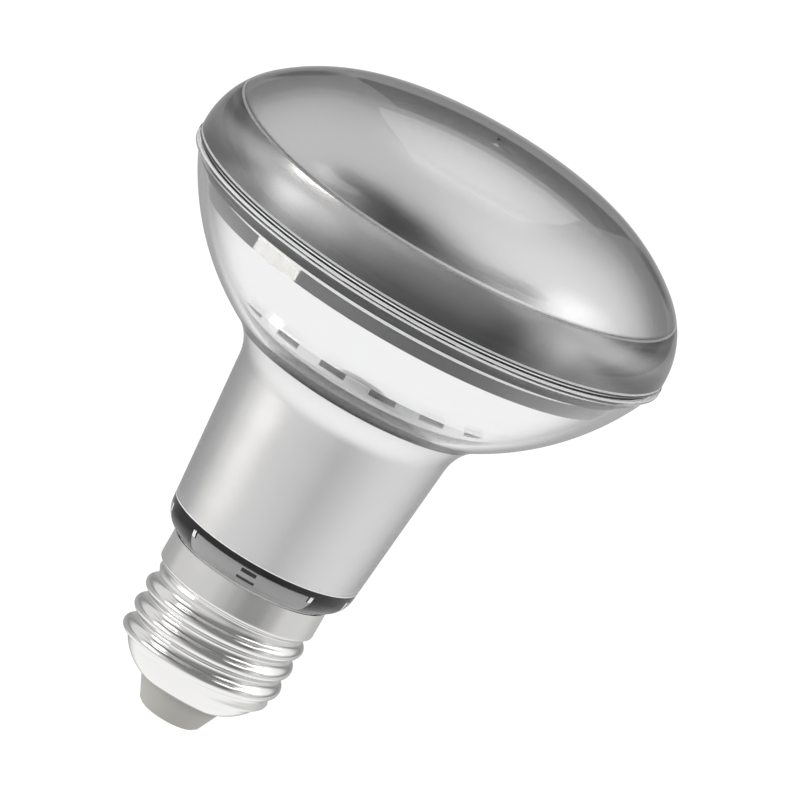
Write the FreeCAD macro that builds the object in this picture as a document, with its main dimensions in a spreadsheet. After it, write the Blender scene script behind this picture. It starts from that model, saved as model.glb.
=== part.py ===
# Reflector lamp with an E27 screw cap: a glass body round a mirrored bowl, a frosted front, and
# the light source, heat sleeve and driver that they hold. Millimetres, +Z from the cap's centre
# contact to the front, origin at the tip of the contact.
import FreeCAD, Part
import math
import os

import Sketcher

Vector = FreeCAD.Vector

# Driving sizes. A height without further words is a distance above the tip of the contact.
SIZES = {
    # screw cap: E27, right-hand, rolled from sheet
    "thread_pitch": 3.629,
    "thread_round": 1.025,
    "thread_root": 12.05,
    "thread_start": 7.6,
    "thread_end": 21.4,
    "thread_fade": 2.2,
    "crest_height": 8.3,
    "shell_wall": 0.3,
    "lip_radius": 7.1,
    "shell_round": 8.5,
    "round_radius": 4.1,
    "round_height": 12.6,
    "skirt_radius": 13.2,
    "skirt_bottom": 22.2,
    "skirt_shoulder": 1.0,
    "skirt_join": 0.2,
    "cap_top": 26.75,
    # centre contact and insulator
    "contact_radius": 3.6,
    "contact_thickness": 0.9,
    "contact_proud": 0.3,
    "contact_round": 0.25,
    "eyelet_radius": 1.15,
    "eyelet_bore": 0.7,
    "tip_radius": 4.95,
    "tip_round": 0.5,
    "nose_gap": 0.2,
    "insulator_top": 8.2,
    "dish_radius": 6.0,
    "dish_depth": 1.4,
    # glass body, blown in one piece
    "glass_wall": 1.2,
    "cement_wall": 0.6,
    "tail_bottom": 22.6,
    "foot_gap": 0.1,
    "foot_round": 4.0,
    "foot_step": 3.6,
    "neck_taper": 4.95,
    "flare_round": 8.5,
    "bowl_depth": 25.86,
    "rim_radius": 40.15,
    "rim_lip": 0.845,
    "rim_step": 0.6,
    "rim_depth": 0.7,
    "seam_height": 82.8,
    # seam bead and front glass
    "seam_gap": 0.45,
    "bead_recess": 0.7,
    "front_wall": 2.0,
    "front_inset": 0.15,
    "front_land": 0.9,
    "front_height": 20.7,
    "crown_sag": 9.15,
    "shoulder_round": 31.0,
    "edge_round": 13.5,
    "corner_inset": 3.7,
    # reflector
    "reflector_wall": 0.5,
    "reflector_gap": 0.4,
    "reflector_inset": 4.95,
    "reflector_drop": 2.3,
    "flange_width": 1.8,
    "ledge_rise": 12.76,
    "ledge_width": 3.05,
    "collar_depth": 2.8,
    "window_count": 18,
    "window_width": 4.4,
    "window_height": 1.4,
    "window_rise": 0.5,
    "reflector_foot": 14.8,
    # heat sleeve and light source
    "sleeve_wall": 1.2,
    "sleeve_gap": 0.3,
    "sleeve_bottom": 32.0,
    "sleeve_rise": 1.76,
    "plate_thickness": 1.4,
    "wire_hole": 2.2,
    "board_radius": 15.4,
    "board_thickness": 1.6,
    "chip_count": 10,
    "chip_ring": 8.4,
    "chip_side": 3.0,
    "chip_height": 0.7,
    "screw_count": 3,
    "screw_ring": 12.3,
    "screw_head": 1.8,
    "screw_head_height": 1.2,
    "screw_shank": 0.95,
    "screw_length": 2.9,
    "screw_clearance": 0.15,
    "plug_length": 6.4,
    "plug_width": 4.6,
    "plug_height": 2.6,
    # driver housing, its card and what the card carries
    "cup_wall": 1.2,
    "spigot_gap": 0.3,
    "spigot_top": 30.2,
    "barrel_step": 2.2,
    "cone_top": 33.0,
    "card_gap": 0.3,
    "card_thickness": 1.2,
    "card_drop": 4.0,
    "bulk_radius": 4.0,
    "bulk_length": 12.5,
    "bulk_across": 4.2,
    "upper_row": 13.6,
    "film_length": 7.2,
    "film_width": 4.4,
    "film_height": 8.5,
    "film_across": 4.6,
    "core_length": 9.6,
    "core_width": 7.6,
    "core_plate": 1.5,
    "core_post": 1.6,
    "winding_radius": 3.4,
    "winding_height": 5.0,
    "middle_row": 22.8,
    "choke_radius": 2.9,
    "choke_length": 6.5,
    "choke_across": 4.0,
    "bridge_length": 4.7,
    "bridge_depth": 2.4,
    "bridge_height": 4.0,
    "bridge_across": 4.4,
    "control_length": 3.9,
    "control_depth": 1.5,
    "control_height": 4.9,
    "lower_row": 12.0,
    "fuse_radius": 1.5,
    "fuse_length": 8.0,
    "fuse_across": 4.6,
    "surge_radius": 3.4,
    "surge_thickness": 2.4,
    "surge_across": 3.8,
    "resistor_count": 5,
    "resistor_length": 3.2,
    "resistor_width": 1.6,
    "resistor_depth": 0.6,
    "resistor_pitch": 2.5,
    "resistor_drop": 3.2,
    "lead_radius": 0.4,
    "lead_spread": 1.0,
    "side_lead_height": 18.6,
    # fit of pieces that seat on each other
    "seat_clearance": 0.05,
}

doc = FreeCAD.newDocument("reflector_lamp")
sheet = doc.addObject("Spreadsheet::Sheet", "Sizes")
for row, (alias, number) in enumerate(SIZES.items(), start=1):
    sheet.set(f"A{row}", alias)
    sheet.set(f"B{row}", str(number))
    sheet.setAlias(f"B{row}", alias)
doc.recompute()


class Size:
    """A length from the sheet, or one worked out from others: its number and its expression."""

    def __init__(self, number, text):
        self.number = number
        self.text = text

    def __add__(self, other):
        other = as_size(other)
        return Size(self.number + other.number, f"({self.text} + {other.text})")

    def __sub__(self, other):
        other = as_size(other)
        return Size(self.number - other.number, f"({self.text} - {other.text})")

    def __mul__(self, other):
        other = as_size(other)
        return Size(self.number * other.number, f"({self.text} * {other.text})")

    def __truediv__(self, other):
        other = as_size(other)
        return Size(self.number / other.number, f"({self.text} / {other.text})")

    def __neg__(self):
        return Size(-self.number, f"(0 - {self.text})")

    def root(self):
        """The square root."""
        return Size(math.sqrt(self.number), f"sqrt({self.text})")

    def tangent(self):
        """The tangent of an angle in degrees."""
        return Size(math.tan(math.radians(self.number)), f"tan({self.text} * 1 deg)")

    def cosine(self):
        """The cosine of an angle in degrees."""
        return Size(math.cos(math.radians(self.number)), f"cos({self.text} * 1 deg)")


def as_size(value):
    """A plain number as a size, and a size as it is."""
    return value if isinstance(value, Size) else Size(float(value), repr(float(value)))


def size(alias):
    """The size that the sheet holds under this alias."""
    return Size(float(sheet.get(alias)), f"Sizes.{alias}")


def leg(slope, other):
    """The leg of a right triangle that has this long side and this other leg."""
    return (slope * slope - other * other).root()


SEAT = size("seat_clearance")
WALL = size("glass_wall")
TAIL = size("skirt_radius") - size("shell_wall") - SEAT - size("cement_wall") - SEAT
FOOT_CENTRE = TAIL + size("foot_step") - size("foot_round")
FOOT_HEIGHT = size("cap_top") + size("foot_gap") + size("foot_round")
CUP_FLOOR = size("insulator_top") + size("cup_wall")
SPIGOT = TAIL - WALL - size("spigot_gap")
BARREL = SPIGOT + size("barrel_step")
CARD_WIDTH = (SPIGOT - size("cup_wall") - size("card_gap")) * 2
SEAM_TOP = size("seam_height") + size("seam_gap")
RIM_BOTTOM = size("seam_height") - size("rim_depth")
BOWL_TOP = RIM_BOTTOM - size("rim_step")
BOWL_BOTTOM = BOWL_TOP - size("bowl_depth")
BOWL_RADIUS = size("rim_radius") - size("rim_lip")
BOWL_ROUND = (BOWL_RADIUS * BOWL_RADIUS / size("bowl_depth") + size("bowl_depth")) / 2
BOWL_CENTRE = BOWL_BOTTOM + BOWL_ROUND
FRONT_RADIUS = size("rim_radius") - size("front_inset")
REFLECTOR_TOP = size("seam_height") - size("reflector_drop")
CROWN_ROUND = (FRONT_RADIUS * FRONT_RADIUS / size("crown_sag") + size("crown_sag")) / 2
LEDGE = BOWL_BOTTOM + size("ledge_rise")
SLEEVE_TOP = BOWL_BOTTOM + size("sleeve_rise")
BOARD_TOP = SLEEVE_TOP + size("board_thickness")
CARD_TOP = SLEEVE_TOP - size("plate_thickness") - size("card_drop")
UPPER_ROW = CARD_TOP - size("upper_row")
MIDDLE_ROW = CARD_TOP - size("middle_row")
RESISTOR_BOTTOM = MIDDLE_ROW - size("resistor_drop")


def neck_radius(height, depth):
    """Radius of the tapered neck at a height, at a depth under its outer face."""
    rise = height - FOOT_HEIGHT
    taper = size("neck_taper")
    return FOOT_CENTRE + (size("foot_round") - depth) / taper.cosine() + rise * taper.tangent()


def bind(feature, **sizes):
    """Ties properties of a feature to sizes."""
    for name, value in sizes.items():
        feature.setExpression(name, as_size(value).text)


def put(feature, x=0, y=0, z=0):
    """Ties a feature's place to sizes."""
    for axis, value in (("x", x), ("y", y), ("z", z)):
        feature.setExpression(f".Placement.Base.{axis}", as_size(value).text)


def new_body(label):
    """An empty body, whose label names the sub-part."""
    body = doc.addObject("PartDesign::Body", label.title().replace("_", ""))
    body.Label = label
    body.AllowCompound = True
    return body


def origin_feature(body, role):
    """A plane or an axis of the body's own origin."""
    return next(item for item in body.Origin.OriginFeatures if item.Role == role)


def meet(first, first_reach, second, second_reach, turn):
    """The point at given distances from two centres, left (1) or right (-1) of the way across."""
    across = second - first
    along = (across.Length**2 + first_reach**2 - second_reach**2) / (2 * across.Length)
    aside = math.sqrt(first_reach**2 - along**2)
    unit = across / across.Length
    return first + unit * along + Vector(-unit.y, unit.x, 0) * aside * turn


def towards(centre, target, reach):
    """The point at a distance from a centre, in the direction of a target."""
    way = target - centre
    return centre + way * (reach / way.Length)


class Outline:
    """Half a section, radius to the right and height upwards, turned round the axis to a solid."""

    def __init__(self, label):
        self.body = new_body(label)
        self.sketch = self.body.newObject("Sketcher::SketchObject", f"{self.body.Name}Section")
        self.sketch.AttachmentSupport = (origin_feature(self.body, "XZ_Plane"), [""])
        self.sketch.MapMode = "FlatFace"
        self.ends = []

    def line(self, start, end):
        """A straight stretch, given by its two ends."""
        index = self.sketch.addGeometry(Part.LineSegment(start, end), False)
        self.ends.append((1, 2))
        return index

    def arc(self, centre, start, end, clockwise=False):
        """A round stretch about a centre, from start to end."""
        first, last = (end, start) if clockwise else (start, end)
        angles = [math.atan2(p.y - centre.y, p.x - centre.x) for p in (first, last)]
        if angles[1] < angles[0]:
            angles[1] += 2 * math.pi
        circle = Part.Circle(centre, Vector(0, 0, 1), (start - centre).Length)
        index = self.sketch.addGeometry(Part.ArcOfCircle(circle, *angles), False)
        self.ends.append((2, 1) if clockwise else (1, 2))
        return index

    def constrain(self, *terms):
        """One constraint, by its kind and what it holds."""
        return self.sketch.addConstraint(Sketcher.Constraint(*terms))

    def join(self, before, after, kind="Coincident"):
        """The end of one stretch meets the start of the next, at a corner or as a tangent."""
        self.constrain(kind, before, self.ends[before][1], after, self.ends[after][0])

    def hold(self, index, point, radius, height):
        """Holds a point of a stretch at a radius and a height. None leaves one of them free."""
        for kind, axis, value in (("DistanceX", -2, radius), ("DistanceY", -1, height)):
            if value is None:
                continue
            value = as_size(value)
            if value.number == 0:
                self.constrain("PointOnObject", index, point, axis)
                continue
            held = self.constrain(kind, -1, 1, index, point, value.number)
            self.sketch.setExpression(f"Constraints[{held}]", value.text)

    def start(self, index, radius=None, height=None):
        """Holds where a stretch starts."""
        self.hold(index, self.ends[index][0], radius, height)

    def centre(self, index, radius=None, height=None):
        """Holds the centre of a round stretch."""
        self.hold(index, 3, radius, height)

    def round(self, index, radius):
        """Holds the radius of a round stretch."""
        held = self.constrain("Radius", index, radius.number)
        self.sketch.setExpression(f"Constraints[{held}]", radius.text)

    def concentric(self, index, other):
        """Two round stretches share their centre."""
        self.constrain("Coincident", index, 3, other, 3)

    def turn(self):
        """Turns the section round the axis."""
        revolution = self.body.newObject("PartDesign::Revolution", f"{self.body.Name}Turned")
        revolution.Profile = self.sketch
        revolution.ReferenceAxis = (self.sketch, ["V_Axis"])
        revolution.Angle = 360
        doc.recompute()
        return self.body


def turned(label, *corners):
    """A solid of revolution whose section has straight sides between the given corners."""
    outline = Outline(label)
    points = [Vector(as_size(r).number, as_size(z).number, 0) for r, z in corners]
    count = len(points)
    for index in range(count):
        outline.line(points[index], points[(index + 1) % count])
    for index in range(count):
        outline.join(index, (index + 1) % count)
        outline.start(index, *corners[index])
    return outline.turn()


def round_edges(body, radius, *rings):
    """Rounds the circular edges that lie at the given radii and heights."""
    names = []
    for number, edge in enumerate(body.Shape.Edges, start=1):
        curve = edge.Curve
        if not isinstance(curve, Part.Circle):
            continue
        for ring, height in rings:
            off = abs(curve.Radius - as_size(ring).number) + abs(curve.Center.z - as_size(height).number)
            if off < 1e-4:
                names.append(f"Edge{number}")
    base = body.Tip
    fillet = body.newObject("PartDesign::Fillet", f"{body.Name}Rounded")
    fillet.Base = (base, names)
    bind(fillet, Radius=radius)
    doc.recompute()


def repeat(body, originals, count):
    """Repeats features evenly round the axis."""
    pattern = body.newObject("PartDesign::PolarPattern", f"{body.Name}Ring")
    pattern.Originals = originals
    pattern.Axis = (origin_feature(body, "Z_Axis"), [""])
    pattern.Angle = 360
    bind(pattern, Occurrences=count)
    body.Tip = pattern
    doc.recompute()


def block(body, kind, name, length, width, height):
    """An Additive or Subtractive block in a body."""
    feature = body.newObject(f"PartDesign::{kind}Box", f"{body.Name}{name}")
    bind(feature, Length=length, Width=width, Height=height)
    return feature


def drum(body, kind, name, radius, height):
    """An Additive or Subtractive cylinder in a body."""
    feature = body.newObject(f"PartDesign::{kind}Cylinder", f"{body.Name}{name}")
    bind(feature, Radius=radius, Height=height)
    return feature


def part_box(label, length, width, height):
    """A plain block as a sub-part of its own."""
    box = doc.addObject("Part::Box", label.title().replace("_", ""))
    box.Label = label
    bind(box, Length=length, Width=width, Height=height)
    return box


def part_cylinder(label, radius, height):
    """A plain cylinder as a sub-part of its own."""
    cylinder = doc.addObject("Part::Cylinder", label.title().replace("_", ""))
    cylinder.Label = label
    bind(cylinder, Radius=radius, Height=height)
    return cylinder


# Cap shell: thin sheet with a rolled right-hand thread that fades at both ends, up to a plain
# skirt. The outer and inner faces of the thread are cubic splines closed round the axis, whose
# poles follow the wave.
COLUMNS = 48
JOIN_TOLERANCE = 0.0001
ROWS_PER_PITCH = 12


def smooth_step(share):
    """Rises from 0 to 1 without a kink."""
    share = min(max(share, 0.0), 1.0)
    return share * share * (3 - 2 * share)


def pole_gain(count):
    """How far poles stand off a wave that count of them follow, so that the spline meets it."""
    return 3 / (2 + math.cos(2 * math.pi / count))


def lip_height():
    """Height of the lip, where the rounded bottom has the lip's radius."""
    reach = leg(size("shell_round"), size("lip_radius") - size("round_radius"))
    return size("round_height") - reach


def thread_ridge(height, turn):
    """How far the rolled ridge stands over the root: two tangent arcs of one radius."""
    pitch = size("thread_pitch").number
    rounding = size("thread_round").number
    crest = 2 * rounding - math.sqrt(4 * rounding**2 - (pitch / 2) ** 2)
    away = (height - size("crest_height").number) / pitch - turn
    away = abs(away - round(away)) * pitch
    if away < pitch / 4:
        ridge = crest - rounding + math.sqrt(rounding**2 - away**2)
    else:
        ridge = rounding - math.sqrt(rounding**2 - (pitch / 2 - away) ** 2)
    ridge = crest / 2 + (ridge - crest / 2) * pole_gain(ROWS_PER_PITCH)
    fade = size("thread_fade").number
    fade_in = smooth_step((height - size("thread_start").number) / fade)
    fade_out = smooth_step((size("thread_end").number - height) / fade)
    return ridge * fade_in * fade_out


def shell_radius(height, turn):
    """Outer radius of the shell at a height and a share of a turn."""
    root = size("thread_root").number
    below = size("round_height").number - height
    rounding = size("shell_round").number
    bottom = size("round_radius").number + math.sqrt(max(rounding**2 - max(below, 0) ** 2, 0))
    shoulder = size("skirt_shoulder").number
    rise = smooth_step((height - size("skirt_bottom").number) / shoulder + 1)
    skirt = (size("skirt_radius").number - root) * rise
    return min(bottom, root) + skirt + thread_ridge(height, turn)


def shell_pole(height, turn, depth):
    """A pole of the face that lies at a depth under the outer one, square to it."""
    step = 0.05
    low = max(height - step, lip_height().number)
    high = height + step
    slope = (shell_radius(high, turn) - shell_radius(low, turn)) / (high - low)
    scale = math.hypot(1, slope)
    radius = (shell_radius(height, turn) - depth / scale) * pole_gain(COLUMNS)
    angle = 2 * math.pi * turn
    return Vector(radius * math.cos(angle), radius * math.sin(angle), height + depth * slope / scale)


def thread_face(depth):
    """The face at one depth under the outer one, from the lip to the foot of the skirt."""
    bottom = lip_height().number
    top = skirt_foot()
    rows = round((top - bottom) / size("thread_pitch").number * ROWS_PER_PITCH) + 1
    heights = [bottom + (top - bottom) * row / (rows - 1) for row in range(rows)]
    turns = [column / COLUMNS for column in range(COLUMNS)]
    poles = [[shell_pole(height, turn, depth) for height in heights] for turn in turns]
    surface = Part.BSplineSurface()
    round_knots = [float(knot) for knot in range(COLUMNS + 1)]
    row_knots = [float(knot) for knot in range(rows - 2)]
    row_counts = [4] + [1] * (rows - 4) + [4]
    surface.buildFromPolesMultsKnots(
        poles, [1] * (COLUMNS + 1), row_counts, round_knots, row_knots, True, False, 3, 3
    )
    return surface.toShape()


def skirt_foot():
    """Height where the thread's face ends in the round wall of the skirt."""
    return size("skirt_bottom").number + size("skirt_join").number


def rim_edges(face):
    """The lowest and the highest closed edge of a round face."""
    closed = [edge for edge in face.Edges if edge.isClosed()]
    return sorted(closed, key=lambda edge: edge.BoundBox.Center.z)


def skirt_tube():
    """The plain round skirt, from the end of the thread to its top edge."""
    foot = Vector(0, 0, skirt_foot())
    height = size("cap_top").number - foot.z
    radius = size("skirt_radius").number
    bore = Part.makeCylinder(radius - size("shell_wall").number, height, foot)
    return Part.makeCylinder(radius, height, foot).cut(bore)


def make_cap_shell():
    """The shell as one closed solid: the threaded length with the skirt joined on."""
    outer = thread_face(0.0)
    inner = thread_face(size("shell_wall").number)
    rims = [Part.makeRuledSurface(a, b) for a, b in zip(rim_edges(outer), rim_edges(inner))]
    skin = Part.Shell([outer, inner] + rims)
    skin.sewShape()
    thread = Part.Solid(skin)
    if thread.Volume < 0:
        thread.reverse()
    solid = thread.fuse([skirt_tube()], JOIN_TOLERANCE).Solids[0]
    feature = doc.addObject("Part::Feature", "CapShell")
    feature.Label = "cap_shell"
    feature.Shape = solid
    feature.Placement = FreeCAD.Placement()


def make_centre_contact():
    """A disc let into the insulator's tip, with a hollow eyelet up through the bore."""
    thickness = size("contact_thickness")
    top = size("insulator_top") - size("dish_depth") + size("eyelet_bore")
    radius = size("contact_radius")
    bore = size("eyelet_bore")
    stem = size("eyelet_radius")
    body = turned(
        "centre_contact",
        (0, 0),
        (radius, 0),
        (radius, thickness),
        (stem, thickness),
        (stem, top),
        (bore, top),
        (bore, thickness),
        (0, thickness),
    )
    round_edges(body, size("contact_round"), (radius, 0))


def make_cap_insulator():
    """A tapered nose below the lip, and a flange that fills the shell's rounded bottom."""
    outline = Outline("cap_insulator")
    centre_r = size("round_radius")
    centre_z = size("round_height")
    rounding = size("shell_round") - size("shell_wall") - SEAT
    nose = size("contact_proud")
    neck = size("lip_radius") - size("nose_gap")
    top = size("insulator_top")
    floor = top - size("dish_depth")
    seat = centre_z - leg(rounding, neck - centre_r)
    rim = centre_r + leg(rounding, centre_z - top)
    recess = size("contact_radius") + SEAT
    bore = size("eyelet_radius") + SEAT
    disc = size("contact_thickness")
    corners = [
        (recess, nose),
        (size("tip_radius"), nose),
        (neck, lip_height() - size("nose_gap")),
        (neck, seat),
        (rim, top),
        (size("dish_radius"), top),
        (size("dish_radius"), floor),
        (bore, floor),
        (bore, disc),
        (recess, disc),
    ]
    points = [Vector(r.number, z.number, 0) for r, z in corners]
    count = len(corners)
    for index in range(count):
        start, end = points[index], points[(index + 1) % count]
        if index == 3:
            outline.arc(Vector(centre_r.number, centre_z.number, 0), start, end)
        else:
            outline.line(start, end)
    for index, (radius, height) in enumerate(corners):
        outline.join(index, (index + 1) % count)
        outline.start(index, radius, None if index == 4 else height)
    outline.centre(3, None, centre_z)
    body = outline.turn()
    round_edges(body, size("tip_round"), (size("tip_radius"), nose))


def make_cap_cement():
    """The ring of cement between the glass tail and the skirt."""
    inner = TAIL + SEAT
    outer = size("skirt_radius") - size("shell_wall") - SEAT
    bottom = size("tail_bottom") + size("seam_gap")
    top = size("cap_top") - size("seam_gap")
    turned("cap_cement", (inner, bottom), (outer, bottom), (outer, top), (inner, top))


def flare_centre(depth):
    """Centre of the flare, which touches the neck's straight side and the bowl from outside."""
    taper = math.radians(size("neck_taper").number)
    way = Vector(math.sin(taper), math.cos(taper), 0)
    outward = Vector(way.y, -way.x, 0)
    foot = Vector(FOOT_CENTRE.number, FOOT_HEIGHT.number, 0)
    base = foot + outward * (size("foot_round").number + size("flare_round").number)
    bowl = Vector(0, BOWL_CENTRE.number, 0)
    reach = BOWL_ROUND.number + size("flare_round").number
    back = base - bowl
    along = back.dot(way)
    travel = -along - math.sqrt(along**2 - back.dot(back) + reach**2)
    return base + way * travel, outward


def make_glass_body():
    """Tail, rounded foot, tapered neck, flare, bowl and rim, blown in one piece."""
    outline = Outline("glass_body")
    flare, outward = flare_centre(0)
    foot = Vector(FOOT_CENTRE.number, FOOT_HEIGHT.number, 0)
    bowl = Vector(0, BOWL_CENTRE.number, 0)
    seam = size("seam_height")
    wall = WALL.number
    tail = TAIL
    foot_round = size("foot_round")
    flare_round = size("flare_round")
    bowl_round = BOWL_ROUND

    def curve_points(depth):
        """Ends of the foot, the flare and the bowl at a depth under the outer face."""
        tail_radius = tail.number - depth
        foot_reach = foot_round.number - depth
        drop = math.sqrt(foot_reach**2 - (tail_radius - foot.x) ** 2)
        bowl_reach = bowl_round.number - depth
        bowl_rise = bowl.y - BOWL_TOP.number
        return (
            Vector(tail_radius, foot.y - drop, 0),
            foot + outward * foot_reach,
            flare - outward * (flare_round.number + depth),
            towards(flare, bowl, flare_round.number + depth),
            Vector(math.sqrt(bowl_reach**2 - bowl_rise**2), BOWL_TOP.number, 0),
        )

    tail_top, foot_end, flare_start, flare_end, bowl_end = curve_points(0)
    inner_tail, inner_foot, inner_flare, inner_turn, inner_bowl = curve_points(wall)
    rim = size("rim_radius")
    rim_bottom = Vector(rim.number, RIM_BOTTOM.number, 0)
    rim_top = Vector(rim.number, seam.number, 0)
    inner_top = Vector(inner_bowl.x, seam.number, 0)
    tail_bottom = Vector(tail.number, size("tail_bottom").number, 0)
    inner_bottom = Vector(tail.number - wall, size("tail_bottom").number, 0)
    stretches = [
        outline.line(tail_bottom, tail_top),
        outline.arc(foot, tail_top, foot_end),
        outline.line(foot_end, flare_start),
        outline.arc(flare, flare_start, flare_end, clockwise=True),
        outline.arc(bowl, flare_end, bowl_end),
        outline.line(bowl_end, rim_bottom),
        outline.line(rim_bottom, rim_top),
        outline.line(rim_top, inner_top),
        outline.line(inner_top, inner_bowl),
        outline.arc(bowl, inner_bowl, inner_turn, clockwise=True),
        outline.arc(flare, inner_turn, inner_flare),
        outline.line(inner_flare, inner_foot),
        outline.arc(foot, inner_foot, inner_tail, clockwise=True),
        outline.line(inner_tail, inner_bottom),
        outline.line(inner_bottom, tail_bottom),
    ]
    smooth = {1, 2, 3, 9, 10, 11}
    for index in stretches:
        after = (index + 1) % len(stretches)
        outline.join(index, after, "Tangent" if index in smooth else "Coincident")
    for index in (0, 6, 8, 13):
        outline.constrain("Vertical", index)
    outline.start(0, tail, size("tail_bottom"))
    outline.centre(1, FOOT_CENTRE, FOOT_HEIGHT)
    outline.round(1, foot_round)
    held = outline.constrain("Angle", 2, math.radians(90 - size("neck_taper").number))
    outline.sketch.setExpression(f"Constraints[{held}]", "(90 - Sizes.neck_taper) * 1 deg")
    outline.round(3, flare_round)
    outline.centre(4, 0, BOWL_CENTRE)
    outline.round(4, bowl_round)
    outline.start(5, None, BOWL_TOP)
    outline.start(6, rim, RIM_BOTTOM)
    outline.start(7, None, seam)
    outline.start(8, None, seam)
    outline.start(9, None, BOWL_TOP)
    outline.concentric(9, 4)
    outline.round(9, bowl_round - WALL)
    outline.concentric(10, 3)
    outline.concentric(12, 1)
    outline.round(12, foot_round - WALL)
    outline.start(14, tail - WALL, size("tail_bottom"))
    outline.turn()


def make_seam_bead():
    """The bead of adhesive that joins the two glasses, set back from their outside."""
    inner = FRONT_RADIUS - size("front_wall")
    outer = size("rim_radius") - size("bead_recess")
    bottom = size("seam_height")
    turned("seam_bead", (inner, bottom), (outer, bottom), (outer, SEAM_TOP), (inner, SEAM_TOP))


def make_front_glass():
    """Pressed front: outside a low crown, a shoulder and a rolled edge that run into each
    other, inside the crown and a side wall that meet in a sharp corner."""
    outline = Outline("front_glass")
    wall = size("front_wall")
    radius = FRONT_RADIUS
    top = SEAM_TOP + size("front_height")
    land = SEAM_TOP + size("front_land")
    crown_round = CROWN_ROUND
    shoulder_round = size("shoulder_round")
    edge_round = size("edge_round")
    corner = radius - size("corner_inset")
    crown = Vector(0, (top - crown_round).number, 0)
    edge = Vector((radius - edge_round).number, land.number, 0)
    shoulder = meet(
        crown,
        (crown_round - shoulder_round).number,
        edge,
        (shoulder_round - edge_round).number,
        1,
    )
    axis_top = Vector(0, top.number, 0)
    crown_end = towards(crown, shoulder, crown_round.number)
    shoulder_end = towards(shoulder, edge, shoulder_round.number)
    land_top = Vector(radius.number, land.number, 0)
    land_bottom = Vector(radius.number, SEAM_TOP.number, 0)
    inner_bottom = Vector((radius - wall).number, SEAM_TOP.number, 0)
    inner_reach = (shoulder_round - wall).number
    inner_rise = math.sqrt(inner_reach**2 - (corner.number - shoulder.x) ** 2)
    inner_corner = Vector(corner.number, shoulder.y + inner_rise, 0)
    inner_crown = towards(crown, shoulder, (crown_round - wall).number)
    axis_bottom = Vector(0, (top - wall).number, 0)
    outline.arc(crown, axis_top, crown_end, clockwise=True)
    outline.arc(shoulder, crown_end, shoulder_end, clockwise=True)
    outline.arc(edge, shoulder_end, land_top, clockwise=True)
    outline.line(land_top, land_bottom)
    outline.line(land_bottom, inner_bottom)
    outline.line(inner_bottom, inner_corner)
    outline.arc(shoulder, inner_corner, inner_crown)
    outline.arc(crown, inner_crown, axis_bottom)
    outline.line(axis_bottom, axis_top)
    for index in range(9):
        kind = "Tangent" if index in (0, 1, 2, 6) else "Coincident"
        outline.join(index, (index + 1) % 9, kind)
    outline.centre(0, 0, top - crown_round)
    outline.round(0, crown_round)
    outline.start(0, 0, None)
    outline.round(1, shoulder_round)
    outline.round(2, edge_round)
    outline.start(3, radius, land)
    outline.start(4, radius, SEAM_TOP)
    outline.start(5, radius - wall, SEAM_TOP)
    outline.start(6, corner, None)
    outline.concentric(6, 1)
    outline.concentric(7, 0)
    outline.round(7, crown_round - wall)
    outline.start(8, 0, None)
    outline.turn()


def make_reflector():
    """The mirror bowl inside the glass, with an upright rim, a flange, a ledge and a collar
    whose windows let the board's heat out, on a cone that stands on the board."""
    wall = size("reflector_wall")
    outer_round = BOWL_ROUND - WALL - size("reflector_gap")
    inner_round = outer_round - wall
    middle = BOWL_CENTRE
    ledge = LEDGE
    collar = leg(outer_round, middle - ledge + wall) - size("ledge_width")
    rim = size("rim_radius") - size("reflector_inset")
    flange = rim + size("flange_width")
    foot = size("reflector_foot")
    bottom = ledge - size("collar_depth")
    corners = [
        (foot, BOARD_TOP),
        (collar, bottom),
        (collar, ledge - wall),
        (leg(outer_round, middle - ledge + wall), ledge - wall),
        (rim, middle - leg(outer_round, rim)),
        (rim, REFLECTOR_TOP - wall),
        (flange, REFLECTOR_TOP - wall),
        (flange, REFLECTOR_TOP),
        (rim - wall, REFLECTOR_TOP),
        (rim - wall, middle - leg(inner_round, rim - wall)),
        (leg(inner_round, middle - ledge), ledge),
        (collar - wall, ledge),
        (collar - wall, bottom + wall / 2),
        (foot - wall, BOARD_TOP),
    ]
    outline = Outline("reflector")
    points = [Vector(r.number, z.number, 0) for r, z in corners]
    count = len(points)
    centre = Vector(0, middle.number, 0)
    for index in range(count):
        start, end = points[index], points[(index + 1) % count]
        if index == 3:
            outline.arc(centre, start, end)
        elif index == 9:
            outline.arc(centre, start, end, clockwise=True)
        else:
            outline.line(start, end)
    for index, (radius, height) in enumerate(corners):
        outline.join(index, (index + 1) % count)
        outline.start(index, None if index == 10 else radius, None if index == 4 else height)
    outline.centre(3, 0, middle)
    outline.concentric(9, 3)
    body = outline.turn()
    window = block(body, "Subtractive", "Window", wall * 4, size("window_width"), size("window_height"))
    put(window, collar - wall * 2, -size("window_width") / 2, bottom + size("window_rise"))
    doc.recompute()
    repeat(body, [window], size("window_count"))


def make_neck_sleeve():
    """The aluminium sleeve that lines the neck and carries the board on its top plate."""
    wall = size("sleeve_wall")
    depth = WALL + size("sleeve_gap")
    bottom = size("sleeve_bottom")
    top = SLEEVE_TOP
    plate = top - size("plate_thickness")
    hole = size("wire_hole")
    body = turned(
        "neck_sleeve",
        (neck_radius(bottom, depth), bottom),
        (neck_radius(top, depth), top),
        (hole, top),
        (hole, plate),
        (neck_radius(plate, depth) - wall, plate),
        (neck_radius(bottom, depth) - wall, bottom),
    )
    cut_screw_holes(body, SEAT)


def cut_screw_holes(body, clearance):
    """The ring of holes that the board's screws pass or bite into."""
    hole = drum(body, "Subtractive", "Hole", size("screw_shank") + clearance, size("screw_length") * 2)
    put(hole, size("screw_ring"), 0, BOARD_TOP - size("screw_length"))
    doc.recompute()
    repeat(body, [hole], size("screw_count"))


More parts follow.
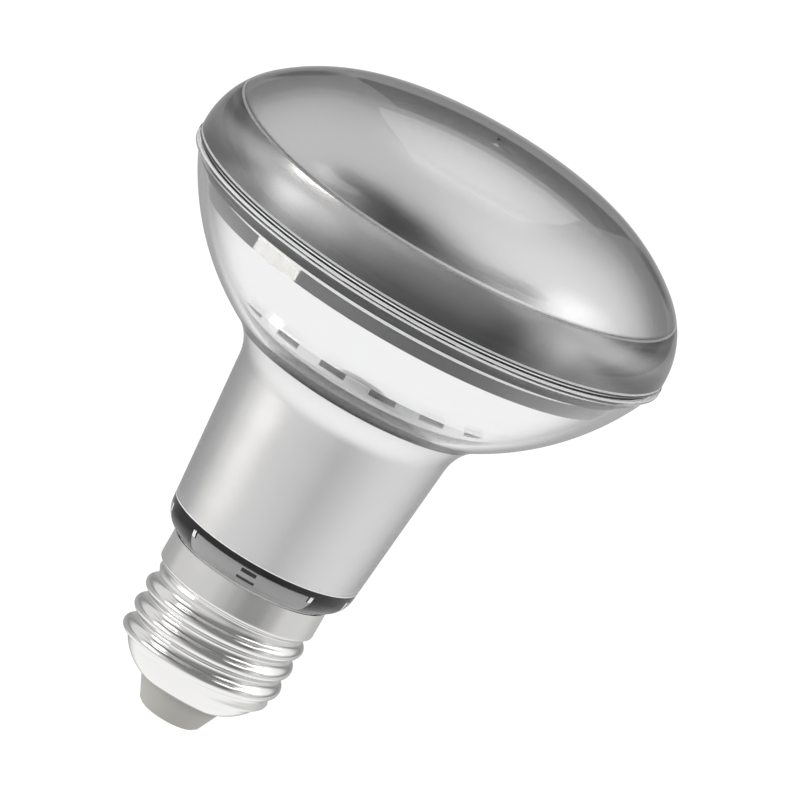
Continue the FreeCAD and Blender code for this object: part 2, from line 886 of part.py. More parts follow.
def make_led_board():
    """The round metal-core board, seated on the sleeve's plate."""
    bottom = SLEEVE_TOP
    radius = size("board_radius")
    hole = size("wire_hole")
    body = turned("led_board", (hole, bottom), (radius, bottom), (radius, BOARD_TOP), (hole, BOARD_TOP))
    cut_screw_holes(body, size("screw_clearance"))


def make_led_chips():
    """The ring of light-emitting packages, one group of like solids."""
    body = new_body("led_chips")
    side = size("chip_side")
    chip = block(body, "Additive", "Package", side, side, size("chip_height"))
    put(chip, size("chip_ring") - side / 2, -side / 2, BOARD_TOP)
    doc.recompute()
    repeat(body, [chip], size("chip_count"))


def make_board_screws():
    """The screws that hold the board, one group of like solids."""
    body = new_body("board_screws")
    ring = size("screw_ring")
    shank = drum(body, "Additive", "Shank", size("screw_shank"), size("screw_length"))
    put(shank, ring, 0, BOARD_TOP - size("screw_length"))
    doc.recompute()
    head = drum(body, "Additive", "Head", size("screw_head"), size("screw_head_height"))
    put(head, ring, 0, BOARD_TOP)
    doc.recompute()
    repeat(body, [shank, head], size("screw_count"))


def make_board_plug():
    """The small plug over the wire hole, where the leads reach the board."""
    box = part_box("board_plug", size("plug_length"), size("plug_width"), size("plug_height"))
    put(box, -size("plug_length") / 2, -size("plug_width") / 2, BOARD_TOP)


def make_driver_cup():
    """The moulded housing: a spigot in the cap, a cone and a wider barrel in the sleeve."""
    wall = size("cup_wall")
    spigot = SPIGOT
    barrel = BARREL
    bottom = size("insulator_top")
    top = SLEEVE_TOP - size("plate_thickness")
    low = size("spigot_top")
    high = size("cone_top")
    hole = size("wire_hole")
    body = turned(
        "driver_cup",
        (hole, bottom),
        (spigot - wall, bottom),
        (spigot, bottom + wall),
        (spigot, low),
        (barrel, high),
        (barrel, top),
        (barrel - wall, top),
        (barrel - wall, high),
        (spigot - wall, low),
        (spigot - wall, CUP_FLOOR),
        (hole, CUP_FLOOR),
    )
    passage = drum(body, "Subtractive", "Passage", size("lead_radius") * 2, wall * 3)
    passage.Placement.Rotation = FreeCAD.Rotation(Vector(0, 1, 0), 90)
    put(passage, spigot - wall * 2, 0, size("side_lead_height"))
    doc.recompute()


def make_card():
    """The driver's circuit board, upright between the housing's walls."""
    height = CARD_TOP - CUP_FLOOR
    box = part_box("driver_board", CARD_WIDTH, size("card_thickness"), height)
    put(box, -CARD_WIDTH / 2, -size("card_thickness") / 2, CUP_FLOOR)


CARD_FACE = size("card_thickness") / 2


def make_front_parts():
    """What stands on the card's +Y face: two capacitors and the transformer."""
    upper = UPPER_ROW
    bulk = part_cylinder("electrolytic_capacitor", size("bulk_radius"), size("bulk_length"))
    put(bulk, -size("bulk_across"), CARD_FACE + size("bulk_radius") + SEAT, upper)
    film = part_box("film_capacitor", size("film_length"), size("film_width"), size("film_height"))
    put(film, size("film_across") - size("film_length") / 2, CARD_FACE, upper)
    length = size("core_length")
    width = size("core_width")
    plate = size("core_plate")
    gap = size("winding_height") + SEAT * 2
    low = MIDDLE_ROW
    across = CARD_FACE + width / 2
    core = new_body("transformer_core")
    lower = block(core, "Additive", "Lower", length, width, plate)
    put(lower, -length / 2, CARD_FACE, low)
    doc.recompute()
    post = drum(core, "Additive", "Post", size("core_post"), gap + plate)
    put(post, 0, across, low + plate / 2)
    doc.recompute()
    top = block(core, "Additive", "Upper", length, width, plate)
    put(top, -length / 2, CARD_FACE, low + plate + gap)
    doc.recompute()
    winding = new_body("transformer_winding")
    coil = drum(winding, "Additive", "Coil", size("winding_radius"), size("winding_height"))
    put(coil, 0, across, low + plate + SEAT)
    doc.recompute()
    bore = drum(winding, "Subtractive", "Bore", size("core_post") + SEAT, size("winding_height") * 2)
    put(bore, 0, across, low)
    doc.recompute()


def make_back_parts():
    """What stands on the card's -Y face: choke, rectifier, control chip, fuse and surge disc."""
    upper = UPPER_ROW
    lower = size("lower_row")
    choke = part_cylinder("choke", size("choke_radius"), size("choke_length"))
    put(choke, -size("choke_across"), -CARD_FACE - size("choke_radius") - SEAT, upper)
    bridge = part_box("bridge_rectifier", size("bridge_length"), size("bridge_depth"), size("bridge_height"))
    put(bridge, size("bridge_across") - size("bridge_length") / 2, -CARD_FACE - size("bridge_depth"), upper)
    control = part_box("driver_chip", size("control_length"), size("control_depth"), size("control_height"))
    put(control, -size("control_length") / 2, -CARD_FACE - size("control_depth"), MIDDLE_ROW)
    fuse = part_cylinder("fuse_resistor", size("fuse_radius"), size("fuse_length"))
    put(fuse, -size("fuse_across"), -CARD_FACE - size("fuse_radius") - SEAT, lower)
    surge = part_cylinder("surge_disc", size("surge_radius"), size("surge_thickness"))
    surge.Placement.Rotation = FreeCAD.Rotation(Vector(1, 0, 0), 90)
    put(surge, size("surge_across"), -CARD_FACE, lower + size("surge_radius"))
    resistors = new_body("chip_resistors")
    length = size("resistor_length")
    first = block(resistors, "Additive", "First", length, size("resistor_depth"), size("resistor_width"))
    put(first, size("bridge_across") - length / 2, -CARD_FACE - size("resistor_depth"), RESISTOR_BOTTOM)
    doc.recompute()
    pattern = resistors.newObject("PartDesign::LinearPattern", "ChipResistorsRow")
    pattern.Originals = [first]
    pattern.Direction = (origin_feature(resistors, "Z_Axis"), [""])
    bind(pattern, Occurrences=size("resistor_count"), Length=(size("resistor_count") - 1) * size("resistor_pitch"))
    resistors.Tip = pattern
    doc.recompute()


def make_leads():
    """The bare leads to the two contacts of the cap, and the pair up to the board's plug."""
    radius = size("lead_radius")
    bottom = size("contact_thickness")
    centre = part_cylinder("centre_lead", radius, CUP_FLOOR - bottom)
    put(centre, 0, 0, bottom)
    start = CARD_WIDTH / 2
    end = size("thread_root") - size("shell_wall") - SEAT
    side = part_cylinder("side_lead", radius, end - start)
    side.Placement.Rotation = FreeCAD.Rotation(Vector(0, 1, 0), 90)
    put(side, start, 0, size("side_lead_height"))
    pair = new_body("led_leads")
    for name, side_sign in (("Left", -1), ("Right", 1)):
        wire = drum(pair, "Additive", name, radius, BOARD_TOP - CARD_TOP)
        put(wire, size("lead_spread") * side_sign, 0, CARD_TOP)
        doc.recompute()


make_cap_shell()
make_centre_contact()
make_cap_insulator()
make_cap_cement()
make_glass_body()
make_seam_bead()
make_front_glass()
make_reflector()
make_neck_sleeve()
make_led_board()
make_led_chips()
make_board_screws()
make_board_plug()
make_driver_cup()
make_card()
make_front_parts()
make_back_parts()
make_leads()
doc.recompute()

# Every object has to be sound, and every sub-part a valid solid, before anything is written.
for item in doc.Objects:
    if "Invalid" in item.State or "Error" in item.State:
        raise RuntimeError(f"{item.Label} failed: {item.State}")
kinds = ("PartDesign::Body", "Part::Feature", "Part::Box", "Part::Cylinder")
sub_parts = [item for item in doc.Objects if item.TypeId in kinds]
for item in sub_parts:
    if item.Shape.isNull() or not item.Shape.isValid() or not item.Shape.Solids:
        raise RuntimeError(f"{item.Label} has no valid solid")
os.makedirs("parts", exist_ok=True)
for item in sub_parts:
    item.Shape.exportStep(f"parts/{item.Label}.step")
    print(item.Label, len(item.Shape.Solids), round(item.Shape.Volume, 2))
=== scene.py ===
"""Looks of a reflector lamp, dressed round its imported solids.

The lamp stands upright on its axis, with the centre contact at the origin and the front glass on
top. Lengths in the classes are in millimetres, and the meshes are made in metres.
"""

import logging
import math
from collections.abc import Callable, Iterable, Sequence
from dataclasses import dataclass, field
from enum import Enum

import bpy
from mathutils import Matrix, Vector


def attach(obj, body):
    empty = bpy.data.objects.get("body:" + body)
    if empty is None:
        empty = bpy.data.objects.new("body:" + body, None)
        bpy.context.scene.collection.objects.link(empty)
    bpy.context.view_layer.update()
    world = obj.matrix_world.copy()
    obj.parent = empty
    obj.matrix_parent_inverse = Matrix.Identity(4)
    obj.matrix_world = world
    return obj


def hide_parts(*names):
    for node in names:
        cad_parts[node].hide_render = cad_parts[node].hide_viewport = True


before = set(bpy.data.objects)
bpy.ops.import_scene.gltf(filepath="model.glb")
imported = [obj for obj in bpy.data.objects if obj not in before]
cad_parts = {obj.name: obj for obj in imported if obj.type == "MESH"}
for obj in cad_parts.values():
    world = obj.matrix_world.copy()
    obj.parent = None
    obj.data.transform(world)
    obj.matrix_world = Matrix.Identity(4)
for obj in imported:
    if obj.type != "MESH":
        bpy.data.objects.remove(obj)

LOG = logging.getLogger("reflector_lamp")
MM = 0.001
ROOT = "root"
CREASE = 28.0
ON_AXIS = 1e-7
ORIGIN = (0.0, 0.0)
Point = tuple[float, float]
Colour = tuple[float, float, float]
Scale = tuple[float, float, float]
Item = bpy.types.Object
Socket = bpy.types.NodeSocket
Value = float | Sequence[float] | Socket


def linked(name: str, data: bpy.types.ID) -> Item:
    """A new object of the scene, for a mesh, a light or a camera.

    Args:
        name: Its name.
        data: The mesh, the light or the camera.

    Returns:
        The object.
    """
    made = bpy.data.objects.new(name, data)
    bpy.context.scene.collection.objects.link(made)
    return made


def surface(
    name: str, points: Sequence[Sequence[float]], faces: Sequence[Sequence[int]]
) -> bpy.types.Mesh:
    """A new mesh.

    Args:
        name: Its name.
        points: Places of its vertices, in metres.
        faces: The vertices at the corners of each face.

    Returns:
        The mesh.
    """
    mesh = bpy.data.meshes.new(name)
    mesh.from_pydata(points, [], faces)
    return mesh


# Finishes


class Nodes:
    """The nodes of a material or a world, added and joined one by one."""

    def __init__(self, owner: bpy.types.Material | bpy.types.World) -> None:
        """Starts with the nodes that the owner has."""
        owner.use_nodes = True
        self.tree = owner.node_tree

    def first(self, kind: str) -> bpy.types.Node:
        """The first node of a kind."""
        return next(node for node in self.tree.nodes if node.type == kind)

    def feed(self, node: bpy.types.Node, inputs: dict[str | int, Value]) -> None:
        """Sets the inputs of a node, and links those that get a socket.

        Args:
            node: The node.
            inputs: What goes into each input, by its name or place.
        """
        for name, value in inputs.items():
            if isinstance(value, Socket):
                self.tree.links.new(value, node.inputs[name])
            else:
                node.inputs[name].default_value = value

    def add(
        self, kind: str, output: str, inputs: dict[str | int, Value] | None = None, **settings: str
    ) -> Socket:
        """Adds a node.

        Args:
            kind: The kind of node, without the words that all kinds start with.
            output: Name of the output that is wanted.
            inputs: What goes into it.
            **settings: Its settings.

        Returns:
            The output.
        """
        node = self.tree.nodes.new("ShaderNode" + kind)
        for name, setting in settings.items():
            setattr(node, name, setting)
        self.feed(node, inputs or {})
        return node.outputs[output]

    def span(
        self, value: Socket, limits: Point, results: Point = (0.0, 1.0), soft: bool = False
    ) -> Socket:
        """Carries a value from one range over to another.

        Args:
            value: The value.
            limits: Where its range starts and ends.
            results: Where the new range starts and ends.
            soft: Whether it starts and ends gently.

        Returns:
            The value in the new range.
        """
        inputs = {"Value": value, "From Min": limits[0], "From Max": limits[1]}
        inputs |= {"To Min": results[0], "To Max": results[1]}
        way = "SMOOTHSTEP" if soft else "LINEAR"
        return self.add("MapRange", "Result", inputs, interpolation_type=way)

    def mix(self, share: Socket, first: Value, second: Value, kind: str = "FLOAT") -> Socket:
        """Goes from one value to another.

        Args:
            share: 0 for the first value and 1 for the second.
            first: The first value.
            second: The second value.
            kind: What the values are.

        Returns:
            The mixed value.
        """
        inputs = {"Factor": share, "A": first, "B": second}
        return self.add("Mix", "Result", inputs, data_type=kind)

    def noise(self, place: Socket, scale: Sequence[float], detail: float) -> Socket:
        """A noise stretched along each axis.

        Args:
            place: Where on the object.
            scale: Repeats per metre along X, Y and Z.
            detail: Levels of finer noise.

        Returns:
            The noise's value.
        """
        spot = self.add("Mapping", "Vector", {"Vector": place, "Scale": tuple(scale)})
        inputs = {"Vector": spot, "Scale": 1.0, "Detail": detail}
        return self.add("TexNoise", "Fac", inputs)


@dataclass(frozen=True)
class Grain:
    """Fine relief: how tight it is along each axis, per metre, and how strong it looks."""

    scale: Scale
    strength: float
    detail: float = 3.0
    depth: float = 0.0002


def even(scale: float, strength: float, detail: float = 3.0) -> tuple[Grain, ...]:
    """One grain that is as tight along all axes."""
    return (Grain((scale,) * 3, strength, detail),)


@dataclass(frozen=True)
class Finish:
    """A surface: its colour, how rough it is, what it is made of, and its fine relief.

    The roughness strays by the spread and the colour by the tint. The painted shade fade holds two
    heights, between which the colour fades downwards as painted shade, and the share of it that is
    left at the lower one.
    """

    name: str
    colour: Colour
    roughness: float
    metal: float = 0.0
    clear: float = 0.0
    ior: float = 1.5
    coat: float = 0.0
    coat_roughness: float = 0.05
    spread: float = 0.0
    spread_scale: Scale = (90.0, 90.0, 260.0)
    spread_detail: float = 4.0
    noise_range: Point = (0.3, 0.7)
    tint: float = 0.0
    tint_scale: Scale = (60.0, 60.0, 60.0)
    tint_detail: float = 3.0
    grains: tuple[Grain, ...] = ()
    specular: float = 0.5
    glow: float = 0.0
    painted_shade_fade: tuple[float, float, float] | None = None
    shade: Colour = (0.93, 0.94, 0.94)

    def material(self) -> bpy.types.Material:
        """Builds the material with its relief and its uneven roughness.

        Returns:
            The material, made once for each name.
        """
        known = bpy.data.materials.get(self.name + "_finish")
        if known is not None:
            return known
        material = bpy.data.materials.new(self.name + "_finish")
        nodes = Nodes(material)
        shader = nodes.first("BSDF_PRINCIPLED")
        constants = {
            "Base Color": (*self.colour, 1.0),
            "Roughness": self.roughness,
            "Metallic": self.metal,
            "Transmission Weight": self.clear,
            "IOR": self.ior,
            "Coat Weight": self.coat,
            "Coat Roughness": self.coat_roughness,
            "Specular IOR Level": self.specular,
            "Emission Color": (*self.colour, 1.0),
            "Emission Strength": self.glow,
        }
        nodes.feed(shader, constants)
        place = nodes.add("TexCoord", "Object")
        if self.spread:
            limits = (self.roughness * (1 - self.spread), self.roughness * (1 + self.spread))
            noise = nodes.noise(place, self.spread_scale, self.spread_detail)
            nodes.feed(shader, {"Roughness": nodes.span(noise, self.noise_range, limits)})
        if self.tint:
            noise = nodes.noise(place, self.tint_scale, self.tint_detail)
            self._colours(nodes, shader, noise, 1 - self.tint, 1 + self.tint)
        # Painted shade: the colour darkens downwards between two heights.
        if self.painted_shade_fade:
            low, high, least = self.painted_shade_fade
            rise = nodes.add("SeparateXYZ", "Z", {"Vector": place})
            share = nodes.span(rise, (low * MM, high * MM), soft=True)
            self._colours(nodes, shader, share, least, 1.0)
        relief: dict[str | int, Value] = {}
        for grain in self.grains:
            relief["Height"] = nodes.noise(place, grain.scale, grain.detail)
            relief |= {"Strength": grain.strength, "Distance": grain.depth}
            relief = {"Normal": nodes.add("Bump", "Normal", relief)}
        nodes.feed(shader, relief)
        if self.clear:
            self._let_shadows_through(nodes, shader)
        return material

    def _colours(
        self, nodes: Nodes, shader: bpy.types.Node, share: Socket, least: float, most: float
    ) -> None:
        """Lets the colour go between two shares of itself.

        Args:
            nodes: The material's nodes.
            shader: The surface's shader.
            share: 0 for the first colour and 1 for the second.
            least: Share of the colour at first.
            most: Share of the colour at last.
        """
        ends = ((*(min(1.0, part * at) for part in self.colour), 1.0) for at in (least, most))
        nodes.feed(shader, {"Base Color": nodes.mix(share, *ends, kind="RGBA")})

    def _let_shadows_through(self, nodes: Nodes, shader: bpy.types.Node) -> None:
        """Clear glass casts next to no shadow on what is behind it.

        Args:
            nodes: The material's nodes.
            shader: The glass shader.
        """
        path = nodes.add("LightPath", "Is Shadow Ray")
        through = nodes.add("BsdfTransparent", "BSDF", {"Color": (*self.shade, 1.0)})
        inputs = {"Fac": path, 1: shader.outputs["BSDF"], 2: through}
        mixed = nodes.add("MixShader", "Shader", inputs)
        nodes.feed(nodes.first("OUTPUT_MATERIAL"), {"Surface": mixed})


CLEAR_GLASS = Finish(
    "clear_glass",
    (0.99, 0.99, 0.992),
    0.0,
    specular=0.22,
    clear=1.0,
    grains=(Grain((38.0, 38.0, 26.0), 0.015, 1.5),),
)
SATIN_FROST = Finish(
    "satin_frost",
    (0.63, 0.625, 0.63),
    0.17,
    metal=0.96,
    clear=1.0,
    spread=0.06,
    # Painted shade: the wall's colour darkens towards its foot, near the seam.
    painted_shade_fade=(84.0, 88.8, 0.42),
    grains=even(2600.0, 0.02),
)
# Painted highlight: a pale finish that glows faintly, for bright lines along edges, strips and
# joints.
PAINTED_HIGHLIGHT_LINE = Finish("painted_highlight_line", (0.95, 0.95, 0.95), 0.40, glow=0.26, grains=even(800.0, 0.05))
# Painted highlight: a faintly glowing line at the front's inner corner.
PAINTED_EDGE_HIGHLIGHT = Finish(
    "painted_edge_highlight", (0.80, 0.80, 0.81), 0.30, metal=0.6, glow=0.05, grains=even(800.0, 0.05)
)
MIRROR = Finish("mirror_metal", (0.86, 0.86, 0.865), 0.07, metal=1.0, grains=even(70.0, 0.05))
RIM_METAL = Finish("rim_metal", (0.15, 0.15, 0.155), 0.05, metal=1.0, grains=even(25.0, 0.02, 1.0))
# Painted shade: near black on the reflector's cone, inside its collar and on its flange's side.
REFLECTOR_PAINTED_SHADE = Finish("reflector_painted_shade", (0.008, 0.008, 0.009), 0.60, specular=0.0, grains=even(500.0, 0.05))
NECK_COAT = Finish(
    "neck_coat",
    (0.84, 0.835, 0.835),
    0.21,
    metal=1.0,
    spread=0.05,
    tint=0.01,
    grains=(Grain((40.0, 40.0, 12.0), 0.02, 1.0),),
)
# Painted shade: near black on the body's inner face, for a band above the coat, a line under it and
# marks in the foot.
GLASS_PAINTED_SHADE = Finish("glass_painted_shade", (0.006, 0.006, 0.006), 0.60, specular=0.0, grains=even(500.0, 0.05))
FOOT_GREY = Finish("foot_grey", (0.44, 0.44, 0.445), 0.35, spread=0.2, grains=even(300.0, 0.04))
SATIN_ALUMINIUM = Finish(
    "satin_aluminium",
    (0.86, 0.86, 0.86),
    0.34,
    metal=1.0,
    spread=0.08,
    grains=(Grain((30.0, 30.0, 3200.0), 0.05), *even(1500.0, 0.03)),
)
BRIGHT_NICKEL = Finish(
    "bright_nickel",
    (0.83, 0.825, 0.815),
    0.13,
    metal=1.0,
    spread=0.18,
    tint=0.02,
    grains=(Grain((60.0, 60.0, 1800.0), 0.015), *even(160.0, 0.04)),
)
CONTACT_METAL = Finish(
    "contact_metal", (0.74, 0.70, 0.60), 0.28, metal=1.0, spread=0.2, grains=even(900.0, 0.08)
)
INSULATOR = Finish(
    "insulator", (0.48, 0.47, 0.44), 0.52, spread=0.15, tint=0.05, grains=even(1100.0, 0.10)
)
BEAD = Finish("bead", (0.02, 0.02, 0.02), 0.35, grains=even(400.0, 0.1))
CUP_PLASTIC = Finish(
    "cup_plastic", (0.52, 0.52, 0.51), 0.22, coat=0.6, spread=0.1, grains=even(700.0, 0.04)
)
CEMENT = Finish("cement", (0.62, 0.58, 0.50), 0.85, tint=0.15, grains=even(1400.0, 0.5))
WHITE_PLASTIC = Finish("white_plastic", (0.82, 0.82, 0.80), 0.38, grains=even(900.0, 0.06))
BOARD_DARK = Finish("board_dark", (0.05, 0.05, 0.055), 0.42, tint=0.05, grains=even(1500.0, 0.04))
PHOSPHOR = Finish("phosphor", (0.90, 0.72, 0.18), 0.30, coat=0.8, grains=even(2500.0, 0.1))
SCREW_STEEL = Finish("screw_steel", (0.62, 0.62, 0.60), 0.26, metal=1.0, grains=even(900.0, 0.06))
BOARD_GREEN = Finish(
    "board_green", (0.05, 0.22, 0.10), 0.34, coat=0.4, tint=0.15, grains=even(1200.0, 0.1)
)
CAN_SLEEVE = Finish("can_sleeve", (0.03, 0.04, 0.07), 0.28, coat=0.5, grains=even(500.0, 0.05))
FILM_RED = Finish("film_red", (0.45, 0.06, 0.04), 0.30, coat=0.6, grains=even(400.0, 0.15))
FERRITE = Finish("ferrite", (0.06, 0.06, 0.065), 0.60, grains=even(1800.0, 0.3))
COPPER_WIRE = Finish(
    "copper_wire",
    (0.62, 0.28, 0.13),
    0.24,
    metal=1.0,
    grains=(Grain((60.0, 60.0, 4200.0), 0.6),),
)
SHRINK_SLEEVE = Finish("shrink_sleeve", (0.02, 0.02, 0.02), 0.34, grains=even(600.0, 0.1))
BLACK_PACKAGE = Finish("black_package", (0.025, 0.025, 0.027), 0.55, grains=even(2200.0, 0.2))
RESISTOR_BLUE = Finish("resistor_blue", (0.16, 0.30, 0.42), 0.35, coat=0.5, grains=even(700.0, 0.1))
DISC_BLUE = Finish("disc_blue", (0.04, 0.12, 0.40), 0.33, coat=0.6, grains=even(500.0, 0.15))
CHIP_BLACK = Finish("chip_black", (0.04, 0.04, 0.04), 0.48, grains=even(1600.0, 0.15))
TINNED_WIRE = Finish("tinned_wire", (0.72, 0.72, 0.70), 0.25, metal=1.0, grains=even(600.0, 0.1))


# Sections and meshes


class Smoothness(Enum):
    """Number of steps round the axis."""

    FINE = 288
    MEDIUM = 192
    COARSE = 96
    DRILL = 24


def between(start: Point, end: Point, share: float) -> Point:
    """The point at a share of the way from one point to another."""
    return (start[0] + (end[0] - start[0]) * share, start[1] + (end[1] - start[1]) * share)


def around(centre: Point, radius: float, angle: float) -> Point:
    """The point at a distance from a centre, at an angle in radians."""
    return (centre[0] + radius * math.cos(angle), centre[1] + radius * math.sin(angle))


def towards(centre: Point, target: Point, reach: float) -> Point:
    """The point at a distance from a centre in the direction of a target."""
    return between(centre, target, reach / math.dist(centre, target))


def leg(slope: float, other: float) -> float:
    """The leg of a right triangle with this long side and other leg."""
    return math.sqrt(slope * slope - other * other)


def meet(first: Point, first_reach: float, second: Point, second_reach: float) -> Point:
    """The point at given distances from two centres.

    Args:
        first: First centre.
        first_reach: Distance from the first centre.
        second: Second centre.
        second_reach: Distance from the second centre.

    Returns:
        The point left of the way from first to second.
    """
    gap = math.dist(first, second)
    along = (gap**2 + first_reach**2 - second_reach**2) / (2 * gap)
    aside = leg(first_reach, along)
    unit = ((second[0] - first[0]) / gap, (second[1] - first[1]) / gap)
    return (
        first[0] + unit[0] * along - unit[1] * aside,
        first[1] + unit[1] * along + unit[0] * aside,
    )


@dataclass(frozen=True)
class To:
    """A stretch of a closed section, from where the one before it ended.

    It is straight, or with a centre it goes round that the short way.
    """

    end: Point
    finish: Finish | None = None
    centre: Point | None = None
    straight_steps: float = 4.0
    fewest: int = 4
    widest_bend: float = 0.08

    def points(self, start: Point, step: float) -> list[Point]:
        """Points along the stretch, without its end.

        Args:
            start: Where it starts.
            step: Largest distance between points of an arc.

        Returns:
            The points.
        """
        if self.centre is None:
            count = max(1, math.ceil(math.dist(start, self.end) / (step * self.straight_steps)))
            return [between(start, self.end, i / count) for i in range(count)]
        radius = math.dist(self.centre, start)
        first, last = (
            math.atan2(spot[1] - self.centre[1], spot[0] - self.centre[0])
            for spot in (start, self.end)
        )
        sweep = (last - first + math.pi) % (2 * math.pi) - math.pi
        bends = abs(sweep) / self.widest_bend
        count = max(self.fewest, math.ceil(abs(sweep) * radius / step), math.ceil(bends))
        return [around(self.centre, radius, first + sweep * i / count) for i in range(count)]


def chain(*corners: Point) -> list[To]:
    """A closed section with straight stretches from corner to corner."""
    return [To(corner) for corner in corners]


@dataclass
class MeshSketch:
    """Vertices and faces of a piece while it is being made, with the finish of each face."""

    base: Finish = BEAD
    points: list[Vector] = field(default_factory=list)
    faces: list[tuple[int, ...]] = field(default_factory=list)
    finishes: list[Finish] = field(default_factory=list)

    def lathe(self, section: Sequence[To], turns: Smoothness, step: float = 0.6) -> "MeshSketch":
        """Turns a closed section round the axis.

        Args:
            section: The stretches of the section.
            turns: Steps round the axis.
            step: Largest distance between points along the section.

        Returns:
            This sketch.
        """
        rings: list[list[int]] = []
        marks: list[Finish] = []
        start = section[-1].end
        for stretch in section:
            rows = stretch.points(start, step)
            rings.extend(self._ring(row, turns.value) for row in rows)
            marks.extend([stretch.finish or self.base] * len(rows))
            start = stretch.end
        return self._bands(rings, marks)

    def grid(self, rows: int, columns: int, place: Callable[[int, int], Vector]) -> "MeshSketch":
        """A closed tube of faces: the rows follow each other in a loop, and so do the columns.

        Args:
            rows: Rows of vertices.
            columns: Vertices in a row.
            place: Gives the place of a vertex from its row and column.

        Returns:
            This sketch.
        """
        self.points.extend(place(row, column) for row in range(rows) for column in range(columns))
        rings = [list(range(row * columns, (row + 1) * columns)) for row in range(rows)]
        return self._bands(rings, [self.base] * rows)

    def block(self, low: Sequence[float], high: Sequence[float]) -> "MeshSketch":
        """A box between two corners, in millimetres.

        Args:
            low: Lowest corner.
            high: Highest corner.

        Returns:
            This sketch.
        """
        (left, near, under), (right, far, over) = low, high
        for z in (under, over):
            for x, y in ((left, near), (right, near), (right, far), (left, far)):
                self.points.append(Vector((x, y, z)) * MM)
        self._face((3, 2, 1, 0), self.base)
        self._face((4, 5, 6, 7), self.base)
        for i, j in ((0, 1), (1, 2), (2, 3), (3, 0)):
            self._face((i, j, j + 4, i + 4), self.base)
        return self

    def mark(self, chosen: Callable[[Vector], Finish | None]) -> "MeshSketch":
        """Gives another finish to some of the faces.

        Args:
            chosen: Gives the new finish, if any, from a face's middle in millimetres.

        Returns:
            This sketch.
        """
        for index, face in enumerate(self.faces):
            middle = sum((self.points[corner] for corner in face), Vector()) / (len(face) * MM)
            self.finishes[index] = chosen(middle) or self.finishes[index]
        return self

    def moved(self, matrix: Matrix) -> "MeshSketch":
        """A copy of this sketch, moved by a matrix."""
        points = [matrix @ point for point in self.points]
        return MeshSketch(self.base, points, self.faces, self.finishes)

    def repeated(self, count: int) -> "MeshSketch":
        """Copies of this sketch at even steps round the axis.

        Args:
            count: How many.

        Returns:
            A sketch of them all.
        """
        whole = MeshSketch(self.base)
        for i in range(count):
            one = self.moved(Matrix.Rotation(2 * math.pi * i / count, 4, "Z"))
            first = len(whole.points)
            whole.points.extend(one.points)
            for face, finish in zip(one.faces, one.finishes):
                whole._face([first + corner for corner in face], finish)
        return whole

    def _face(self, corners: Iterable[int], finish: Finish) -> None:
        """Adds a face, with each of its corners once."""
        self.faces.append(tuple(dict.fromkeys(corners)))
        self.finishes.append(finish)

    def _ring(self, row: Point, turns: int) -> list[int]:
        """One ring of vertices, or a single one on the axis.

        Args:
            row: Radius and height of the ring.
            turns: Steps round the axis.

        Returns:
            The new vertices.
        """
        radius, height = row[0] * MM, row[1] * MM
        count = turns if radius > ON_AXIS else 1
        first = len(self.points)
        for i in range(count):
            self.points.append(Vector((*around(ORIGIN, radius, 2 * math.pi * i / count), height)))
        return list(range(first, first + count))

    def _bands(self, rings: Sequence[Sequence[int]], marks: Sequence[Finish]) -> "MeshSketch":
        """Puts faces between rings that follow each other in a loop.

        Args:
            rings: The vertices of each ring.
            marks: The finish of the faces after each ring.

        Returns:
            This sketch.
        """
        for low, high, finish in zip(rings, [*rings[1:], rings[0]], marks):
            turns = max(len(low), len(high))
            for i in range(turns if turns > 1 else 0):
                j = (i + 1) % turns
                near = (low[i % len(low)], low[j % len(low)])
                far = (high[j % len(high)], high[i % len(high)])
                self._face((*near, *far), finish)
        return self

    def piece(self, name: str, crease: float = CREASE) -> Item:
        """Makes the object, smooth but for its sharp edges, and reports it.

        Args:
            name: Name of the piece.
            crease: Angle in degrees past which an edge is sharp.

        Returns:
            The object, riding on the lamp's one body.
        """
        mesh = surface(name, self.points, self.faces)
        kinds = {finish.name: finish for finish in (self.base, *self.finishes)}
        for finish in kinds.values():
            mesh.materials.append(finish.material())
        order = {kind: index for index, kind in enumerate(kinds)}
        chosen = [order[finish.name] for finish in self.finishes]
        mesh.polygons.foreach_set("material_index", chosen)
        mesh.polygons.foreach_set("use_smooth", [True] * len(self.faces))
        mesh.update()
        mesh.set_sharp_from_angle(angle=math.radians(crease))
        piece = linked(name, mesh)
        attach(piece, ROOT)
        LOG.info("%s: %d faces", name, len(self.faces))
        return piece


def cut(piece: Item, tool: MeshSketch) -> None:
    """Takes the tool's solids out of a piece, for good.

    Args:
        piece: The piece to cut.
        tool: The solids to take away.
    """
    cutter = linked("cutter", surface("cutter", tool.points, tool.faces))
    modifier = piece.modifiers.new("cut", "BOOLEAN")
    modifier.operation = "DIFFERENCE"
    modifier.solver = "EXACT"
    modifier.object = cutter
    graph = bpy.context.evaluated_depsgraph_get()
    result = bpy.data.meshes.new_from_object(piece.evaluated_get(graph), depsgraph=graph)
    piece.modifiers.clear()
    piece.data = result
    result.set_sharp_from_angle(angle=math.radians(CREASE))
    bpy.data.objects.remove(cutter)


def drill(radius: float, heights: Point) -> MeshSketch:
    """A rod on the axis between two heights, to cut a hole with.

    Args:
        radius: Its radius.
        heights: Its lower and upper end.

    Returns:
        The rod.
    """
    low, high = heights
    section = chain((0.0, low), (radius, low), (radius, high), (0.0, high))
    return MeshSketch().lathe(section, Smoothness.DRILL)


# Glass


